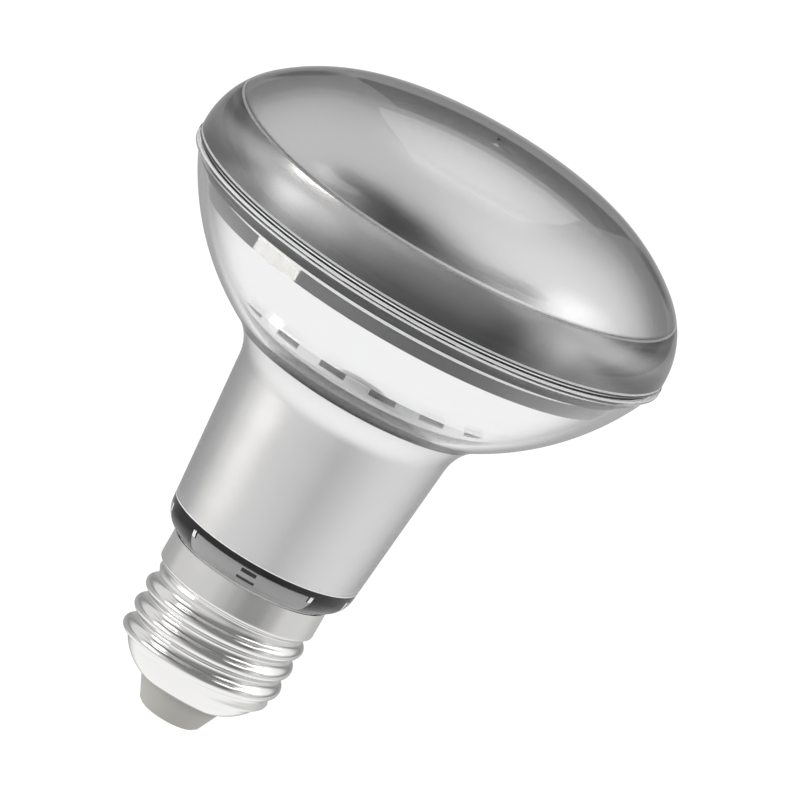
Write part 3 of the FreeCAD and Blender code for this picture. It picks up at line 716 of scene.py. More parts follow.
@dataclass
class GlassBody:
    """The blown body: tail, rounded foot, tapered neck, flare, bowl and rim."""

    wall: float = 1.2
    tail_radius: float = 12.2
    tail_bottom: float = 22.6
    foot_round: float = 4.0
    foot_centre: Point = (11.8, 30.85)
    neck_taper: float = 4.95
    flare_round: float = 8.5
    bowl_round: float = 42.8
    bowl_centre: float = 98.44
    bowl_top: float = 81.5
    rim_radius: float = 40.15
    rim_bottom: float = 82.1
    seam: float = 82.8
    coat_top: float = 60.9
    coat_bottom: float = 31.75
    # Widths of a painted highlight line under the coat, a painted shade line under that, a painted
    # highlight strip under the seam, and a band of painted shade above the coat.
    coat_bright: float = 0.2
    coat_line: float = 1.1
    rim_line: float = 0.8
    dark_rise: float = 2.2
    foot_top: float = 0.9
    face_reach: float = 0.2
    # The foot's marks: bars, shade and lines of painted shade, with a pale painted highlight line.
    bars: int = 3
    bar_width: float = 2.8
    bar_step: float = 14.0
    bar_low: float = -64.0
    shade_low: float = -25.0
    shade_start: float = 43.5
    chip_start: float = 41.5
    chip_line: float = 40.0

    def neck_radius(self, height: float, depth: float) -> float:
        """Radius of the neck.

        Args:
            height: Height above the contact.
            depth: Depth under the outer face.

        Returns:
            The radius.
        """
        taper = math.radians(self.neck_taper)
        rise = height - self.foot_centre[1]
        side = (self.foot_round - depth) / math.cos(taper)
        return self.foot_centre[0] + side + rise * math.tan(taper)

    def flare_centre(self) -> Point:
        """Centre of the flare, which touches the neck and the bowl from outside.

        Returns:
            The centre.
        """
        taper = math.radians(self.neck_taper)
        base = around(self.foot_centre, self.foot_round + self.flare_round, -taper)
        rise = base[1] - self.bowl_centre
        along = base[0] * math.sin(taper) + rise * math.cos(taper)
        aside = base[0] * math.cos(taper) - rise * math.sin(taper)
        travel = -along - leg(self.bowl_round + self.flare_round, aside)
        return around(base, travel, math.pi / 2 - taper)

    def curves(self, depth: float) -> tuple[Point, Point, Point, Point, Point]:
        """Ends of the foot, the flare and the bowl.

        Args:
            depth: Depth under the outer face.

        Returns:
            The foot's start and end, the flare's start and end, and the bowl's end.
        """
        taper = math.radians(self.neck_taper)
        tail = self.tail_radius - depth
        foot = self.foot_round - depth
        flare = self.flare_centre()
        turn = self.flare_round + depth
        reach = self.bowl_round - depth
        return (
            (tail, self.foot_centre[1] - leg(foot, tail - self.foot_centre[0])),
            around(self.foot_centre, foot, -taper),
            around(flare, -turn, -taper),
            towards(flare, (0.0, self.bowl_centre), turn),
            (leg(reach, self.bowl_centre - self.bowl_top), self.bowl_top),
        )

    def section(self) -> list[To]:
        """The wall's section, from the tail up the outside and down the inside.

        Returns:
            The section.
        """
        foot_start, foot_end, flare_start, flare_end, bowl_end = self.curves(0.0)
        in_foot_low, in_foot_high, in_flare_low, in_flare_high, in_bowl = self.curves(self.wall)
        foot, flare, bowl = self.foot_centre, self.flare_centre(), (0.0, self.bowl_centre)
        turn = self.flare_round + self.wall
        coat_high, shade_high = (
            (flare[0] - leg(turn, height - flare[1]), height)
            for height in (self.coat_top, self.coat_top + self.dark_rise)
        )
        levels = [self.coat_bottom]
        levels.append(levels[-1] - self.coat_bright)
        levels.append(levels[-1] - self.coat_line)
        coat_low, bright_low, line_low = ((self.neck_radius(z, self.wall), z) for z in levels)
        halfway = between(in_foot_low, in_foot_high, 0.5)
        foot_middle = towards(foot, halfway, self.foot_round - self.wall)
        # Painted light on the inner face: a painted highlight strip under the seam, a band of
        # painted shade above the coat, painted highlight and painted shade lines under the coat,
        # painted highlight on the tail.
        return [
            To(foot_start),
            To(foot_end, centre=foot),
            To(flare_start),
            To(flare_end, centre=flare),
            To(bowl_end, centre=bowl),
            To((self.rim_radius, self.rim_bottom)),
            To((self.rim_radius, self.seam)),
            To((in_bowl[0], self.seam)),
            To((in_bowl[0], self.seam - self.rim_line), PAINTED_HIGHLIGHT_LINE),
            To(in_bowl),
            To(in_flare_high, centre=bowl),
            To(shade_high, centre=flare),
            To(coat_high, GLASS_PAINTED_SHADE, flare),
            To(in_flare_low, NECK_COAT, flare),
            To(coat_low, NECK_COAT),
            To(bright_low, PAINTED_HIGHLIGHT_LINE),
            To(line_low, GLASS_PAINTED_SHADE),
            To(in_foot_high),
            To(foot_middle, FOOT_GREY, foot),
            To(in_foot_low, FOOT_GREY, foot),
            To((self.tail_radius - self.wall, self.tail_bottom), PAINTED_HIGHLIGHT_LINE),
            To((self.tail_radius, self.tail_bottom)),
        ]

    def build(self) -> Item:
        """Makes the body in place of its solid: clear, with a satin coat inside the neck.

        Returns:
            The piece.
        """
        sketch = MeshSketch(CLEAR_GLASS).lathe(self.section(), Smoothness.FINE)
        sketch.mark(self.foot_mark)
        return self.dress(sketch.piece("glass_body_clear"))

    def foot_mark(self, spot: Vector) -> Finish | None:
        """Painted shade on the foot's inner face: short dark bars, and shade with a pale painted
        highlight line between.

        Args:
            spot: A spot on the glass, in millimetres.

        Returns:
            The finish of the mark there, or None.
        """
        out = math.hypot(spot.x, spot.y)
        reach = math.dist(self.foot_centre, (out, spot.z))
        on_face = abs(reach - self.foot_round + self.wall) <= self.face_reach
        if not on_face or spot.z > self.coat_bottom - self.foot_top:
            return None
        slope = math.degrees(math.atan2(spot.z - self.foot_centre[1], out - self.foot_centre[0]))
        share = (math.atan2(spot.y, spot.x) + math.pi / 2) * self.bars / (2 * math.pi)
        turned = abs(share - round(share)) * 360.0 / self.bars
        if turned > self.shade_start:
            return GLASS_PAINTED_SHADE
        if turned > self.chip_line:
            line = PAINTED_HIGHLIGHT_LINE if turned > self.chip_start else GLASS_PAINTED_SHADE
            return line if slope > self.shade_low else None
        beside = math.radians(turned) * out < self.bar_width / 2
        in_bar = beside and slope > self.bar_low and int(slope // self.bar_step) % 2 == 0
        return GLASS_PAINTED_SHADE if in_bar else None

    def dress(self, piece: Item) -> Item:
        """Hides the solid that the piece stands for."""
        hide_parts("glass_body")
        return piece


@dataclass
class FrontGlass:
    """The pressed front: smooth outside, satin inside with a sharp inner corner."""

    wall: float = 2.0
    radius: float = 40.0
    bottom: float = 83.25
    land: float = 0.9
    top: float = 103.95
    crown_round: float = 92.0
    shoulder_round: float = 31.0
    edge_round: float = 13.5
    inner_edge: float = 36.3
    bead_inner: float = 38.0
    bead_outer: float = 39.45
    seam: float = 82.8
    # Widths of the painted highlight at the inner corner and of the painted highlight line at the
    # joint; height of the bead's black top.
    corner_line: float = 0.34
    corner_slope: float = 26.0
    joint_line: float = 0.34
    bead_black: float = 0.16
    pip: float = 0.7
    pip_depth: float = 0.34

    def section(self) -> list[To]:
        """The wall's section, from the axis over the inside and back over the outside.

        Returns:
            The section.
        """
        land = self.bottom + self.land
        crown = (0.0, self.top - self.crown_round)
        edge = (self.radius - self.edge_round, land)
        crown_reach = self.crown_round - self.shoulder_round
        shoulder = meet(crown, crown_reach, edge, self.shoulder_round - self.edge_round)
        inside = (self.radius - self.wall, self.bottom)
        inset = self.inner_edge - self.corner_line
        inner_round = self.shoulder_round - self.wall
        line_end = (inset, shoulder[1] + leg(inner_round, inset - shoulder[0]))
        fall = self.corner_line * math.tan(math.radians(self.corner_slope))
        corner = (self.inner_edge, line_end[1] - fall)
        # Painted highlight on the inner corner, and a painted highlight line at the joint with the
        # body.
        return [
            To((0.0, self.top - self.wall), SATIN_FROST),
            To(towards(crown, shoulder, self.crown_round - self.wall), SATIN_FROST, crown),
            To(line_end, SATIN_FROST, shoulder),
            To(corner, PAINTED_EDGE_HIGHLIGHT),
            To(towards(inside, corner, self.joint_line), SATIN_FROST),
            To(inside, PAINTED_HIGHLIGHT_LINE),
            To((self.radius, self.bottom)),
            To((self.radius, land)),
            To(towards(shoulder, edge, self.shoulder_round), centre=edge),
            To(towards(crown, shoulder, self.crown_round), centre=shoulder),
            To((self.pip, crown[1] + leg(self.crown_round, self.pip)), centre=crown),
            To((self.pip / 2, self.top - self.pip_depth)),
            To((0.0, self.top - self.pip_depth / 2)),
        ]

    def build(self) -> list[Item]:
        """Makes the front, and the bead under it.

        Returns:
            The pieces.
        """
        front = MeshSketch(CLEAR_GLASS).lathe(self.section(), Smoothness.FINE)
        # The bead is black at the seam, with painted highlight on its outer face above that.
        ring = [
            To((self.bead_outer, self.seam)),
            To((self.bead_outer, self.seam + self.bead_black)),
            To((self.bead_outer, self.bottom), PAINTED_HIGHLIGHT_LINE),
            To((self.bead_inner, self.bottom)),
            To((self.bead_inner, self.seam)),
        ]
        bead = MeshSketch(BEAD).lathe(ring, Smoothness.FINE)
        return self.dress(front.piece("front_glass_satin"), bead.piece("seam_bead_ring"))

    def dress(self, front: Item, bead: Item) -> list[Item]:
        """Hides the solids that the pieces stand for.

        Args:
            front: The front glass.
            bead: The bead.

        Returns:
            The pieces.
        """
        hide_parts("front_glass")
        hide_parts("seam_bead")
        return [front, bead]


# Screw cap


@dataclass
class ScrewCap:
    """The rolled shell with its thread and skirt, the insulator and the centre contact."""

    pitch: float = 3.629
    thread_round: float = 1.025
    root: float = 12.05
    thread_start: float = 7.6
    thread_end: float = 21.4
    fade: float = 2.2
    crest_height: float = 8.3
    wall: float = 0.3
    lip_radius: float = 7.1
    shell_round: float = 8.5
    round_radius: float = 4.1
    round_height: float = 12.6
    skirt_radius: float = 13.2
    skirt_bottom: float = 22.2
    skirt_shoulder: float = 1.0
    cap_top: float = 26.75
    columns: int = 176
    rows: int = 230
    near: float = 0.05
    crease: float = 50.0
    seat_gap: float = 0.05
    nose_gap: float = 0.2
    nose_radius: float = 4.95
    nose_bottom: float = 0.3
    nose_round: float = 0.5
    nose_flat: float = 0.85
    nose_step: float = 0.4
    flange_top: float = 8.2
    flange_floor: float = 6.8
    flange_inner: float = 6.0
    bore: float = 1.2
    recess: float = 3.65
    contact_radius: float = 3.6
    contact_round: float = 0.25
    contact_depth: float = 0.9
    contact_step: float = 0.3
    eyelet_top: float = 7.5
    eyelet_outer: float = 1.15
    eyelet_inner: float = 0.7

    def lip_height(self) -> float:
        """Height of the shell's lower edge."""
        return self.round_height - leg(self.shell_round, self.lip_radius - self.round_radius)

    def ease(self, share: float) -> float:
        """Rises from 0 to 1 without a kink."""
        share = min(max(share, 0.0), 1.0)
        return share * share * (3 - 2 * share)

    def ridge(self, height: float, turn: float) -> float:
        """How far the rolled ridge stands over the root.

        Args:
            height: Height above the contact.
            turn: Share of a turn about the axis.

        Returns:
            The height of the ridge there.
        """
        crest = 2 * self.thread_round - leg(2 * self.thread_round, self.pitch / 2)
        away = (height - self.crest_height) / self.pitch - turn
        away = abs(away - round(away)) * self.pitch
        if away < self.pitch / 4:
            ridge = crest - self.thread_round + leg(self.thread_round, away)
        else:
            ridge = self.thread_round - leg(self.thread_round, self.pitch / 2 - away)
        fade_in = self.ease((height - self.thread_start) / self.fade)
        fade_out = self.ease((self.thread_end - height) / self.fade)
        return ridge * fade_in * fade_out

    def shell_radius(self, height: float, turn: float) -> float:
        """Outer radius of the shell.

        Args:
            height: Height above the contact.
            turn: Share of a turn about the axis.

        Returns:
            The radius there.
        """
        below = max(self.round_height - height, 0.0)
        bottom = self.round_radius + math.sqrt(max(self.shell_round**2 - below**2, 0.0))
        rise = self.ease((height - self.skirt_bottom) / self.skirt_shoulder + 1)
        plain = min(bottom, self.root) + (self.skirt_radius - self.root) * rise
        return plain + self.ridge(height, turn)

    def shell_place(self, row: int, column: int) -> Vector:
        """A vertex of the shell: up its outside, then down its inside.

        Args:
            row: Row of the vertex.
            column: Its place round the axis.

        Returns:
            The place in metres.
        """
        half = self.rows // 2
        inside = row >= half
        step = self.rows - 1 - row if inside else row
        low, high = self.lip_height(), self.cap_top
        height = low + (high - low) * (step / (half - 1))
        turn = column / self.columns
        depth = self.wall if inside else 0.0
        under, over = max(height - self.near, low), height + self.near
        slope = (self.shell_radius(over, turn) - self.shell_radius(under, turn)) / (over - under)
        scale = math.hypot(1, slope)
        radius = self.shell_radius(height, turn) - depth / scale
        height += depth * slope / scale
        return Vector((*around(ORIGIN, radius, 2 * math.pi * turn), height)) * MM

    def build(self) -> list[Item]:
        """Makes the shell, the insulator and the contact.

        Returns:
            The pieces.
        """
        sketch = MeshSketch(BRIGHT_NICKEL).grid(self.rows, self.columns, self.shell_place)
        shell = sketch.piece("cap_shell_rolled", self.crease)
        return [self.dress(shell), self.insulator(), self.contact()]

    def insulator(self) -> Item:
        """The tapered nose below the lip, and its flange in the shell.

        Returns:
            The piece.
        """
        neck = self.lip_radius - self.nose_gap
        seat_round = self.shell_round - self.wall - self.seat_gap
        centre = (self.round_radius, self.round_height)
        flange = self.round_radius + leg(seat_round, self.round_height - self.flange_top)
        shoulder = (neck, self.lip_height() - self.nose_gap)
        side = towards((self.nose_radius, self.nose_bottom), shoulder, self.nose_round)
        flat = self.nose_radius - self.nose_round
        section = [
            To((flat, self.nose_bottom)),
            To(side, centre=(flat, self.nose_bottom + self.nose_round * self.nose_flat)),
            To(shoulder),
            To((neck, self.round_height - leg(seat_round, neck - self.round_radius))),
            To((flange, self.flange_top), centre=centre),
            To((self.flange_inner, self.flange_top)),
            To((self.flange_inner, self.flange_floor)),
            To((self.bore, self.flange_floor)),
            To((self.bore, self.contact_depth)),
            To((self.recess, self.contact_depth)),
            To((self.recess, self.nose_bottom)),
        ]
        sketch = MeshSketch(INSULATOR).lathe(section, Smoothness.COARSE, self.nose_step)
        piece = sketch.piece("insulator_nose")
        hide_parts("cap_insulator")
        return piece

    def contact(self) -> Item:
        """The disc at the end, with its hollow eyelet.

        Returns:
            The piece.
        """
        flat = self.contact_radius - self.contact_round
        section = [
            To((flat, 0.0)),
            To((self.contact_radius, self.contact_round), centre=(flat, self.contact_round)),
            To((self.contact_radius, self.contact_depth)),
            To((self.eyelet_outer, self.contact_depth)),
            To((self.eyelet_outer, self.eyelet_top)),
            To((self.eyelet_inner, self.eyelet_top)),
            To((self.eyelet_inner, self.contact_depth)),
            To((0.0, self.contact_depth)),
            To(ORIGIN),
        ]
        sketch = MeshSketch(CONTACT_METAL).lathe(section, Smoothness.COARSE, self.contact_step)
        piece = sketch.piece("contact_disc")
        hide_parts("centre_contact")
        return piece

    def dress(self, shell: Item) -> Item:
        """Hides the solid that the shell stands for."""
        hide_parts("cap_shell")
        return shell


# Mirror bowl, sleeve and cup


@dataclass
class MirrorBowl:
    """The reflector: mirror bowl, upright rim and flange, and a collar with windows."""

    wall: float = 0.5
    gap: float = 0.4
    glass: GlassBody = field(default_factory=GlassBody)
    rim: float = 35.2
    rim_top: float = 80.5
    flange: float = 37.0
    ledge: float = 68.4
    collar: float = 24.6
    collar_bottom: float = 65.6
    foot: float = 14.8
    board_top: float = 59.0
    windows: int = 18
    window_width: float = 4.4
    window_low: float = 66.1
    window_high: float = 67.5
    # Share of the cone in painted shade, and height of the painted highlight strip at the rim's
    # top.
    cone_painted_shade: float = 0.5
    painted_edge_highlight: float = 0.9

    def section(self) -> list[To]:
        """The sheet's section, from the cone's foot over the outside and back inside.

        Returns:
            The section.
        """
        middle = self.glass.bowl_centre
        centre = (0.0, middle)
        outer = self.glass.bowl_round - self.glass.wall - self.gap
        inner = outer - self.wall
        lower = self.ledge - self.wall
        skin = self.rim - self.wall
        under = self.rim_top - self.wall
        foot, collar = (self.foot, self.board_top), (self.collar, self.collar_bottom)
        # Painted shade on the cone, the flange's side and inside the collar, and a painted
        # highlight strip at the rim's top.
        return [
            To(between(foot, collar, self.cone_painted_shade), REFLECTOR_PAINTED_SHADE),
            To(collar),
            To((self.collar, lower)),
            To((leg(outer, middle - lower), lower)),
            To((self.rim, middle - leg(outer, self.rim)), centre=centre),
            To((self.rim, under - self.painted_edge_highlight), RIM_METAL),
            To((self.rim, under), PAINTED_HIGHLIGHT_LINE),
            To((self.flange, under), RIM_METAL),
            To((self.flange, self.rim_top), REFLECTOR_PAINTED_SHADE),
            To((skin, self.rim_top), RIM_METAL),
            To((skin, middle - leg(inner, skin))),
            To((leg(inner, middle - self.ledge), self.ledge), centre=centre),
            To((self.collar - self.wall, self.ledge)),
            To((self.collar - self.wall, self.collar_bottom), REFLECTOR_PAINTED_SHADE),
            To((self.foot - self.wall, self.board_top), REFLECTOR_PAINTED_SHADE),
            To(foot),
        ]

    def build(self) -> Item:
        """Makes the reflector and cuts its windows.

        Returns:
            The piece.
        """
        sketch = MeshSketch(MIRROR).lathe(self.section(), Smoothness.MEDIUM)
        piece = sketch.piece("reflector_mirror")
        half = self.window_width / 2
        low = (self.collar - self.wall * 2, -half, self.window_low)
        high = (self.collar + self.wall * 2, half, self.window_high)
        cut(piece, MeshSketch().block(low, high).repeated(self.windows))
        return self.dress(piece)

    def dress(self, piece: Item) -> Item:
        """Hides the solid that the piece stands for."""
        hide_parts("reflector")
        return piece


@dataclass
class HeatSleeve:
    """The satin sleeve that lines the neck, with the plate that carries the board."""

    glass: GlassBody = field(default_factory=GlassBody)
    wall: float = 1.2
    gap: float = 0.3
    bottom: float = 32.0
    top: float = 57.4
    plate: float = 1.4
    hole: float = 2.2
    screws: int = 3
    screw_ring: float = 12.3
    screw_hole: float = 1.0
    drilled: Point = (53.0, 60.0)

    def section(self) -> list[To]:
        """The sleeve, from its foot up the outside and down the inside.

        Returns:
            The closed section.
        """
        depth = self.glass.wall + self.gap
        under = self.top - self.plate
        heights = (self.bottom, self.top, under)
        low, high, inner = (self.glass.neck_radius(height, depth) for height in heights)
        return chain(
            (low, self.bottom),
            (high, self.top),
            (self.hole, self.top),
            (self.hole, under),
            (inner - self.wall, under),
            (low - self.wall, self.bottom),
        )

    def build(self) -> Item:
        """Makes the sleeve and drills its screw holes.

        Returns:
            The piece.
        """
        sketch = MeshSketch(SATIN_ALUMINIUM).lathe(self.section(), Smoothness.MEDIUM)
        piece = sketch.piece("sleeve_satin")
        aside = Matrix.Translation((self.screw_ring * MM, 0.0, 0.0))
        cut(piece, drill(self.screw_hole, self.drilled).moved(aside).repeated(self.screws))
        return self.dress(piece)

    def dress(self, piece: Item) -> Item:
        """Hides the solid that the piece stands for."""
        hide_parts("neck_sleeve")
        return piece


@dataclass
class DriverCup:
    """The moulded housing: spigot in the cap, cone in the clear foot, barrel in the sleeve."""

    wall: float = 1.2
    spigot: float = 10.7
    barrel: float = 12.9
    bottom: float = 8.2
    spigot_top: float = 30.2
    cone_top: float = 33.0
    top: float = 56.0
    hole: float = 2.2
    passage: float = 0.8
    passage_height: float = 18.6
    drilled: Point = (8.0, 12.0)

    def section(self) -> list[To]:
        """The cup, from its bottom up the outside and down the inside.

        Returns:
            The closed section.
        """
        floor = self.bottom + self.wall
        inner, bore = self.spigot - self.wall, self.barrel - self.wall
        return chain(
            (self.hole, self.bottom),
            (inner, self.bottom),
            (self.spigot, floor),
            (self.spigot, self.spigot_top),
            (self.barrel, self.cone_top),
            (self.barrel, self.top),
            (bore, self.top),
            (bore, self.cone_top),
            (inner, self.spigot_top),
            (inner, floor),
            (self.hole, floor),
        )

    def build(self) -> Item:
        """Makes the cup and the passage for the side lead.

        Returns:
            The piece.
        """
        sketch = MeshSketch(CUP_PLASTIC).lathe(self.section(), Smoothness.MEDIUM)
        piece = sketch.piece("driver_cup_moulded")
        level = Matrix.Rotation(math.pi / 2, 4, "Y")
        raised = Matrix.Translation((0.0, 0.0, self.passage_height * MM))
        cut(piece, drill(self.passage, self.drilled).moved(raised @ level))
        return self.dress(piece)

    def dress(self, piece: Item) -> Item:
        """Hides the solid that the piece stands for."""
        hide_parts("driver_cup")
        return piece


@dataclass
class InnerWorks:
    """The board with its packages, and the driver: solids kept as they are, each with a finish."""

    finishes: dict[str, Finish] = field(
        default_factory=lambda: {
            "cap_cement": CEMENT,
            "led_board": BOARD_DARK,
            "led_chips": PHOSPHOR,
            "board_screws": SCREW_STEEL,
            "board_plug": WHITE_PLASTIC,
            "driver_board": BOARD_GREEN,
            "electrolytic_capacitor": CAN_SLEEVE,
            "film_capacitor": FILM_RED,
            "transformer_core": FERRITE,
            "transformer_winding": COPPER_WIRE,
            "choke": SHRINK_SLEEVE,
            "bridge_rectifier": BLACK_PACKAGE,
            "driver_chip": BLACK_PACKAGE,
            "fuse_resistor": RESISTOR_BLUE,
            "surge_disc": DISC_BLUE,
            "chip_resistors": CHIP_BLACK,
            "centre_lead": TINNED_WIRE,
            "side_lead": TINNED_WIRE,
            "led_leads": TINNED_WIRE,
        }
    )

    def dress(self) -> None:
        """Gives each kept solid its finish."""
        for name, finish in self.finishes.items():
            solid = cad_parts[name]
            solid.data.materials.clear()
            solid.data.materials.append(finish.material())
            LOG.info("%s: %s", name, finish.name)


# Studio


def direction(azimuth: float, elevation: float) -> Vector:
    """Direction away from the lamp: azimuth 0 is the camera's side and 90 its right."""
    a, e = math.radians(azimuth), math.radians(elevation)
    return Vector((math.sin(a) * math.cos(e), -math.cos(a) * math.cos(e), math.sin(e)))


def panel(
    name: str, corners: Sequence[Sequence[float]], finish: str, light: Callable[[Nodes], Value]
) -> Item:
    """A glowing panel beside the lamp.

    Args:
        name: Its name.
        corners: Its four corners, in metres.
        finish: Name of its material.
        light: Gives how bright it glows.

    Returns:
        The panel.
    """
    material = bpy.data.materials.new(finish)
    nodes = Nodes(material)
    glow = nodes.add("Emission", "Emission", {"Strength": light(nodes)})
    nodes.feed(nodes.first("OUTPUT_MATERIAL"), {"Surface": glow})
    mesh = surface(name, corners, [(0, 1, 2, 3)])
    mesh.materials.append(material)
    return linked(name, mesh)


@dataclass(frozen=True)
class Softbox:
    """A rectangular light aimed at the lamp from a direction."""

    name: str
    azimuth: float
    elevation: float
    distance: float
    width: float
    height: float
    power: float
    colour: Colour = (1.0, 1.0, 1.0)
    in_mirrors: bool = True

    def place(self, target: Vector) -> Item:
        """Hangs the light.

        Args:
            target: What it is aimed at.

        Returns:
            The light.
        """
        data = bpy.data.lights.new(self.name, "AREA")
        data.shape = "RECTANGLE"
        data.size, data.size_y = self.width, self.height
        data.energy = self.power
        data.color = self.colour
        light = linked(self.name, data)
        away = direction(self.azimuth, self.elevation)
        light.location = target + away * self.distance
        light.rotation_mode = "QUATERNION"
        light.rotation_quaternion = away.to_track_quat("Z", "Y")
        light.visible_glossy = self.in_mirrors
        light.visible_transmission = self.in_mirrors
        light.visible_camera = False
        return light


@dataclass(frozen=True)
class Patch:
    """A round patch of the surroundings with soft edges, and its light."""

    azimuth: float
    elevation: float
    inner: float
    outer: float
    light: float


@dataclass
class Studio:
    """Light table, surrounding light and softboxes.

    Table, sides and arch are pairs of an angle in degrees and the light there. The angles round
    the lamp are azimuths. In the arch they go from the horizon behind the lamp over its top to
    the horizon on the camera's side.
    """

    floor_height: float = -400.0
    floor_side: float = 24.0
    floor_shown: float = 1.08
    spot_light: float = 1.05
    spot: Point = (0.45, 0.98)
    near: Point = (1.10, 1.60)
    table_near: tuple[Point, ...] = (
        (-180, 0.46), (-152, 0.42), (-118, 0.42), (-96, 0.62), (-76, 0.62), (-36, 0.66), (0, 0.61),
        (22, 0.48), (42, 0.62), (62, 0.74), (108, 0.80), (134, 0.70), (156, 0.46), (180, 0.46),
    )
    table_far: tuple[Point, ...] = (
        (-180, 0.45), (-140, 0.44), (-118, 0.50), (-100, 0.70), (-34, 0.70), (-12, 0.54), (0, 0.42),
        (20, 0.31), (40, 0.31), (56, 0.44), (78, 0.72), (112, 0.74), (150, 0.55), (180, 0.45),
    )
    sides: tuple[Point, ...] = (
        (-180, 0.80), (-130, 0.56), (-106, 0.36), (-92, 0.85), (-74, 1.60), (-56, 0.95),
        (-30, 0.40), (-8, 0.26), (26, 0.24), (50, 0.14), (66, 0.50), (80, 0.90), (100, 0.62),
        (140, 1.10),
    )
    arch: tuple[Point, ...] = (
        (0, 0.34), (7, 0.42), (10, 0.30), (20, 0.33), (24, 0.52), (32, 0.78), (50, 0.84),
        (66, 0.84), (78, 0.74), (86, 0.46), (95, 0.16), (106, 0.10), (118, 0.24), (140, 0.26),
        (180, 0.26),
    )
    behind: Point = (-0.15, 0.25)
    high: Point = (0.30, 0.62)
    patches: tuple[Patch, ...] = (
        Patch(118.0, 56.0, 8.0, 42.0, 1.15),
        Patch(-91.0, 56.0, 5.0, 12.0, 1.90),
        Patch(104.0, 42.0, 6.0, 20.0, 2.00),
        Patch(62.0, 50.0, 6.0, 19.0, 1.80),
        Patch(-104.0, 62.0, 3.0, 8.0, 0.08),
        Patch(-98.0, 70.0, 4.0, 9.0, 0.04),
        Patch(-60.0, 77.0, 5.0, 10.0, 0.02),
        Patch(0.0, 74.0, 6.0, 11.0, 0.02),
        Patch(36.0, 73.0, 6.0, 10.0, 0.03),
        Patch(66.0, 68.0, 5.0, 9.0, 0.03),
        Patch(86.0, 62.0, 5.0, 8.0, 0.03),
        Patch(-168.0, 6.0, 2.0, 5.0, 0.12),
        Patch(168.0, 6.0, 2.0, 5.0, 0.12),
    )
    flag_width: float = 0.84
    flag_height: float = 0.76
    flag_bottom: float = 0.54
    flag_distance: float = 3.0
    flag_offset: float = 0.03
    flag_light: float = 0.10
    aim_height: float = 0.06
    softboxes: tuple[Softbox, ...] = (
        Softbox("left_strip", -65.0, -11.3, 0.30, 0.155, 0.026, 0.067, (1.0, 0.98, 0.90)),
        Softbox("left_fill", -84.0, 8.0, 1.2, 0.5, 0.5, 1.5, in_mirrors=False),
        Softbox("back_window", 180.6, 40.0, 1.4, 0.42, 0.66, 0.36),
    )

    def build(self) -> None:
        """Builds the light table, the surrounding light and the softboxes."""
        self.floor()
        self.flag()
        self.surround()
        for softbox in self.softboxes:
            softbox.place(Vector((0.0, 0.0, self.aim_height)))
            LOG.info("light %s", softbox.name)

    def floor(self) -> None:
        """A plain pale light table under the lamp, brightest right below it."""
        half, height = self.floor_side / 2, self.floor_height * MM
        sides = ((-half, -half), (half, -half), (half, half), (-half, half))
        corners = [(x, y, height) for x, y in sides]
        floor = panel("floor", corners, "light_table", self.table_light)

    def flag(self) -> None:
        """A dark card high up behind the lamp, that shows in the front glass."""
        left, right = (self.flag_offset + side * self.flag_width / 2 for side in (-1, 1))
        low, high = self.flag_bottom, self.flag_bottom + self.flag_height
        sides = ((left, low), (right, low), (right, high), (left, high))
        corners = [(x, self.flag_distance, z) for x, z in sides]
        flag = panel("flag", corners, "flag_cloth", lambda nodes: self.flag_light)

    def table_light(self, nodes: Nodes) -> Socket:
        """The light table's glow: even where it is seen, graded where it lights the lamp.

        Args:
            nodes: The table's nodes.

        Returns:
            How bright it glows.
        """
        place = nodes.add("TexCoord", "Object")
        inputs = {"Vector": place, "Scale": (1.0, 1.0, 0.0)}
        flat = nodes.add("Mapping", "Vector", inputs)
        away = nodes.add("VectorMath", "Value", {0: flat}, operation="LENGTH")
        side, front, _, _ = self._parts(nodes, place)
        near = self._ramp(nodes, side, front, self.table_near)
        far = self._ramp(nodes, side, front, self.table_far)
        ring = nodes.mix(nodes.span(away, self.near, soft=True), near, far)
        lit = nodes.mix(nodes.span(away, self.spot, soft=True), self.spot_light, ring)
        return self._shown(nodes, lit)

    def surround(self) -> None:
        """Light that changes with direction, with a dark screen high up on the camera's side."""
        world = bpy.data.worlds.new("studio")
        bpy.context.scene.world = world
        nodes = Nodes(world)
        place = nodes.add("TexCoord", "Generated")
        side, front, back, rise = self._parts(nodes, place)
        arch = self._ramp(nodes, rise, back, self.arch)
        ring = self._ramp(nodes, side, front, self.sides)
        level = nodes.mix(nodes.span(back, self.behind, soft=True), ring, arch)
        level = nodes.mix(nodes.span(rise, self.high, soft=True), level, arch)
        for patch in self.patches:
            inputs = {0: place, 1: direction(patch.azimuth, patch.elevation)}
            near = nodes.add("VectorMath", "Value", inputs, operation="DOT_PRODUCT")
            limits = tuple(math.cos(math.radians(edge)) for edge in (patch.outer, patch.inner))
            level = nodes.mix(nodes.span(near, limits, soft=True), level, patch.light)
        inputs = {"Color": self._shown(nodes, level), "Strength": 1.0}
        nodes.feed(nodes.first("BACKGROUND"), inputs)

    def _shown(self, nodes: Nodes, level: Socket) -> Socket:
        """The light as it is, but plain and pale where it is seen straight."""
        seen = nodes.add("LightPath", "Is Camera Ray")
        return nodes.mix(seen, level, self.floor_shown)

    def _parts(self, nodes: Nodes, place: Socket) -> tuple[Socket, ...]:
        """A place split along the axes.

        Args:
            nodes: The nodes it is made in.
            place: A place or a direction, seen from the lamp's axis.

        Returns:
            How far it lies to the right, to the camera, to the back, and up.
        """
        right, back, rise = (nodes.add("SeparateXYZ", axis, {"Vector": place}) for axis in "XYZ")
        front = nodes.add("Math", "Value", {0: back, 1: -1.0}, operation="MULTIPLY")
        return right, front, back, rise

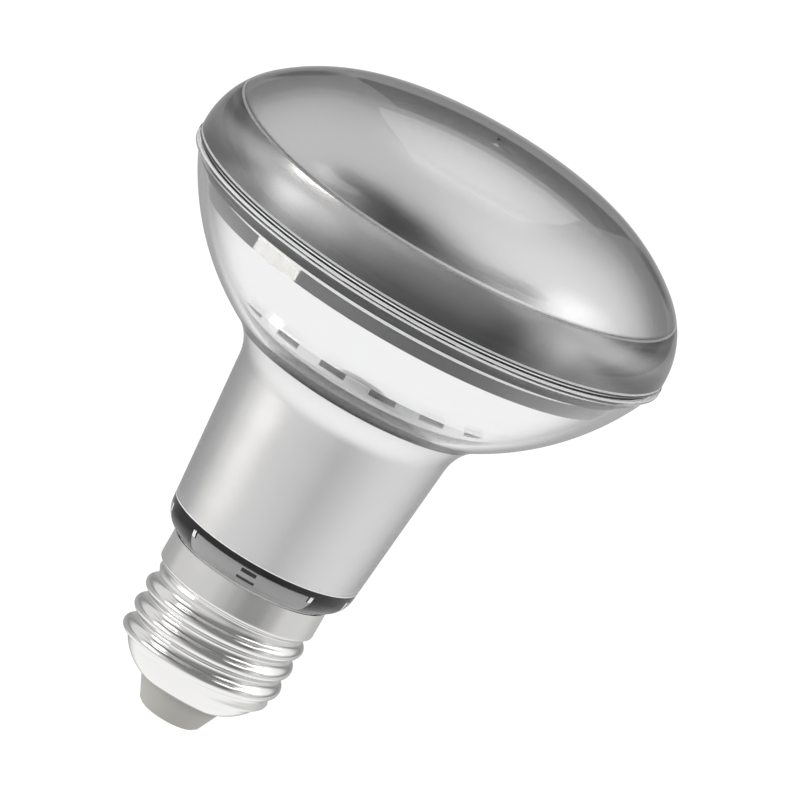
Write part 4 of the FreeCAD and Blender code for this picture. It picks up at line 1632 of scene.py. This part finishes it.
    def _ramp(self, nodes: Nodes, across: Socket, along: Socket, levels: Sequence[Point]) -> Socket:
        """The light at the angle between two parts of a direction.

        Args:
            nodes: The nodes it is made in.
            across: The part that stands at 90 degrees.
            along: The part that stands at 0 degrees.
            levels: Pairs of an angle and its light, in the order of the angles.

        Returns:
            The light.
        """
        angle = nodes.add("Math", "Value", {0: across, 1: along}, operation="ARCTAN2")
        colours = nodes.add("ValToRGB", "Color")
        ramp = colours.node
        ramp.color_ramp.interpolation = "EASE"
        stops = ramp.color_ramp.elements
        while len(stops) < len(levels):
            stops.new(0.5)
        for stop, (turn, light) in zip(stops, levels):
            stop.position = (turn + 180.0) / 360.0
            stop.color = (light, light, light, 1.0)
        nodes.feed(ramp, {"Fac": nodes.span(angle, (-math.pi, math.pi))})
        return colours


@dataclass
class Camera:
    """The photograph's view: nearly square on, a little from the front, lamp tilted in frame."""

    elevation: float = 13.9
    roll: float = 30.0
    distance: float = 2.0
    pixels: float = 800.0
    pixels_per_mm: float = 6.6
    sensor: float = 36.0
    clip: Point = (0.05, 60.0)
    axis_height: float = 61.23
    axis_pixel: Point = (361.64, 377.87)

    def build(self) -> Item:
        """Sets up the camera.

        Returns:
            The camera.
        """
        data = bpy.data.cameras.new("camera")
        data.sensor_width = self.sensor
        data.lens = self.sensor * self.distance / (self.pixels / self.pixels_per_mm * MM)
        data.clip_start, data.clip_end = self.clip
        camera = linked("camera", data)
        bpy.context.scene.camera = camera
        back = direction(0.0, self.elevation)
        level = back.to_track_quat("Z", "Y")
        spin = level @ Matrix.Rotation(math.radians(self.roll), 3, "Z").to_quaternion()
        right, up = spin @ Vector((1, 0, 0)), spin @ Vector((0, 1, 0))
        metres = MM / self.pixels_per_mm
        aside = (self.pixels / 2 - self.axis_pixel[0]) * metres
        over = (self.axis_pixel[1] - self.pixels / 2) * metres
        target = Vector((0.0, 0.0, self.axis_height * MM)) + right * aside + up * over
        camera.rotation_mode = "QUATERNION"
        camera.rotation_quaternion = spin
        camera.location = target + back * self.distance
        return camera


def main() -> None:
    """Builds the lamp and its studio in order."""
    logging.basicConfig(level=logging.INFO, format="%(name)s: %(message)s")
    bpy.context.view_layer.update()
    glass = GlassBody()
    glass.build()
    FrontGlass().build()
    ScrewCap().build()
    MirrorBowl(glass=glass).build()
    HeatSleeve(glass=glass).build()
    DriverCup().build()
    InnerWorks().dress()
    Studio().build()
    Camera().build()
    bpy.context.scene.view_settings.view_transform = "Standard"
    bpy.context.view_layer.update()


if __name__ == "__main__":
    main()
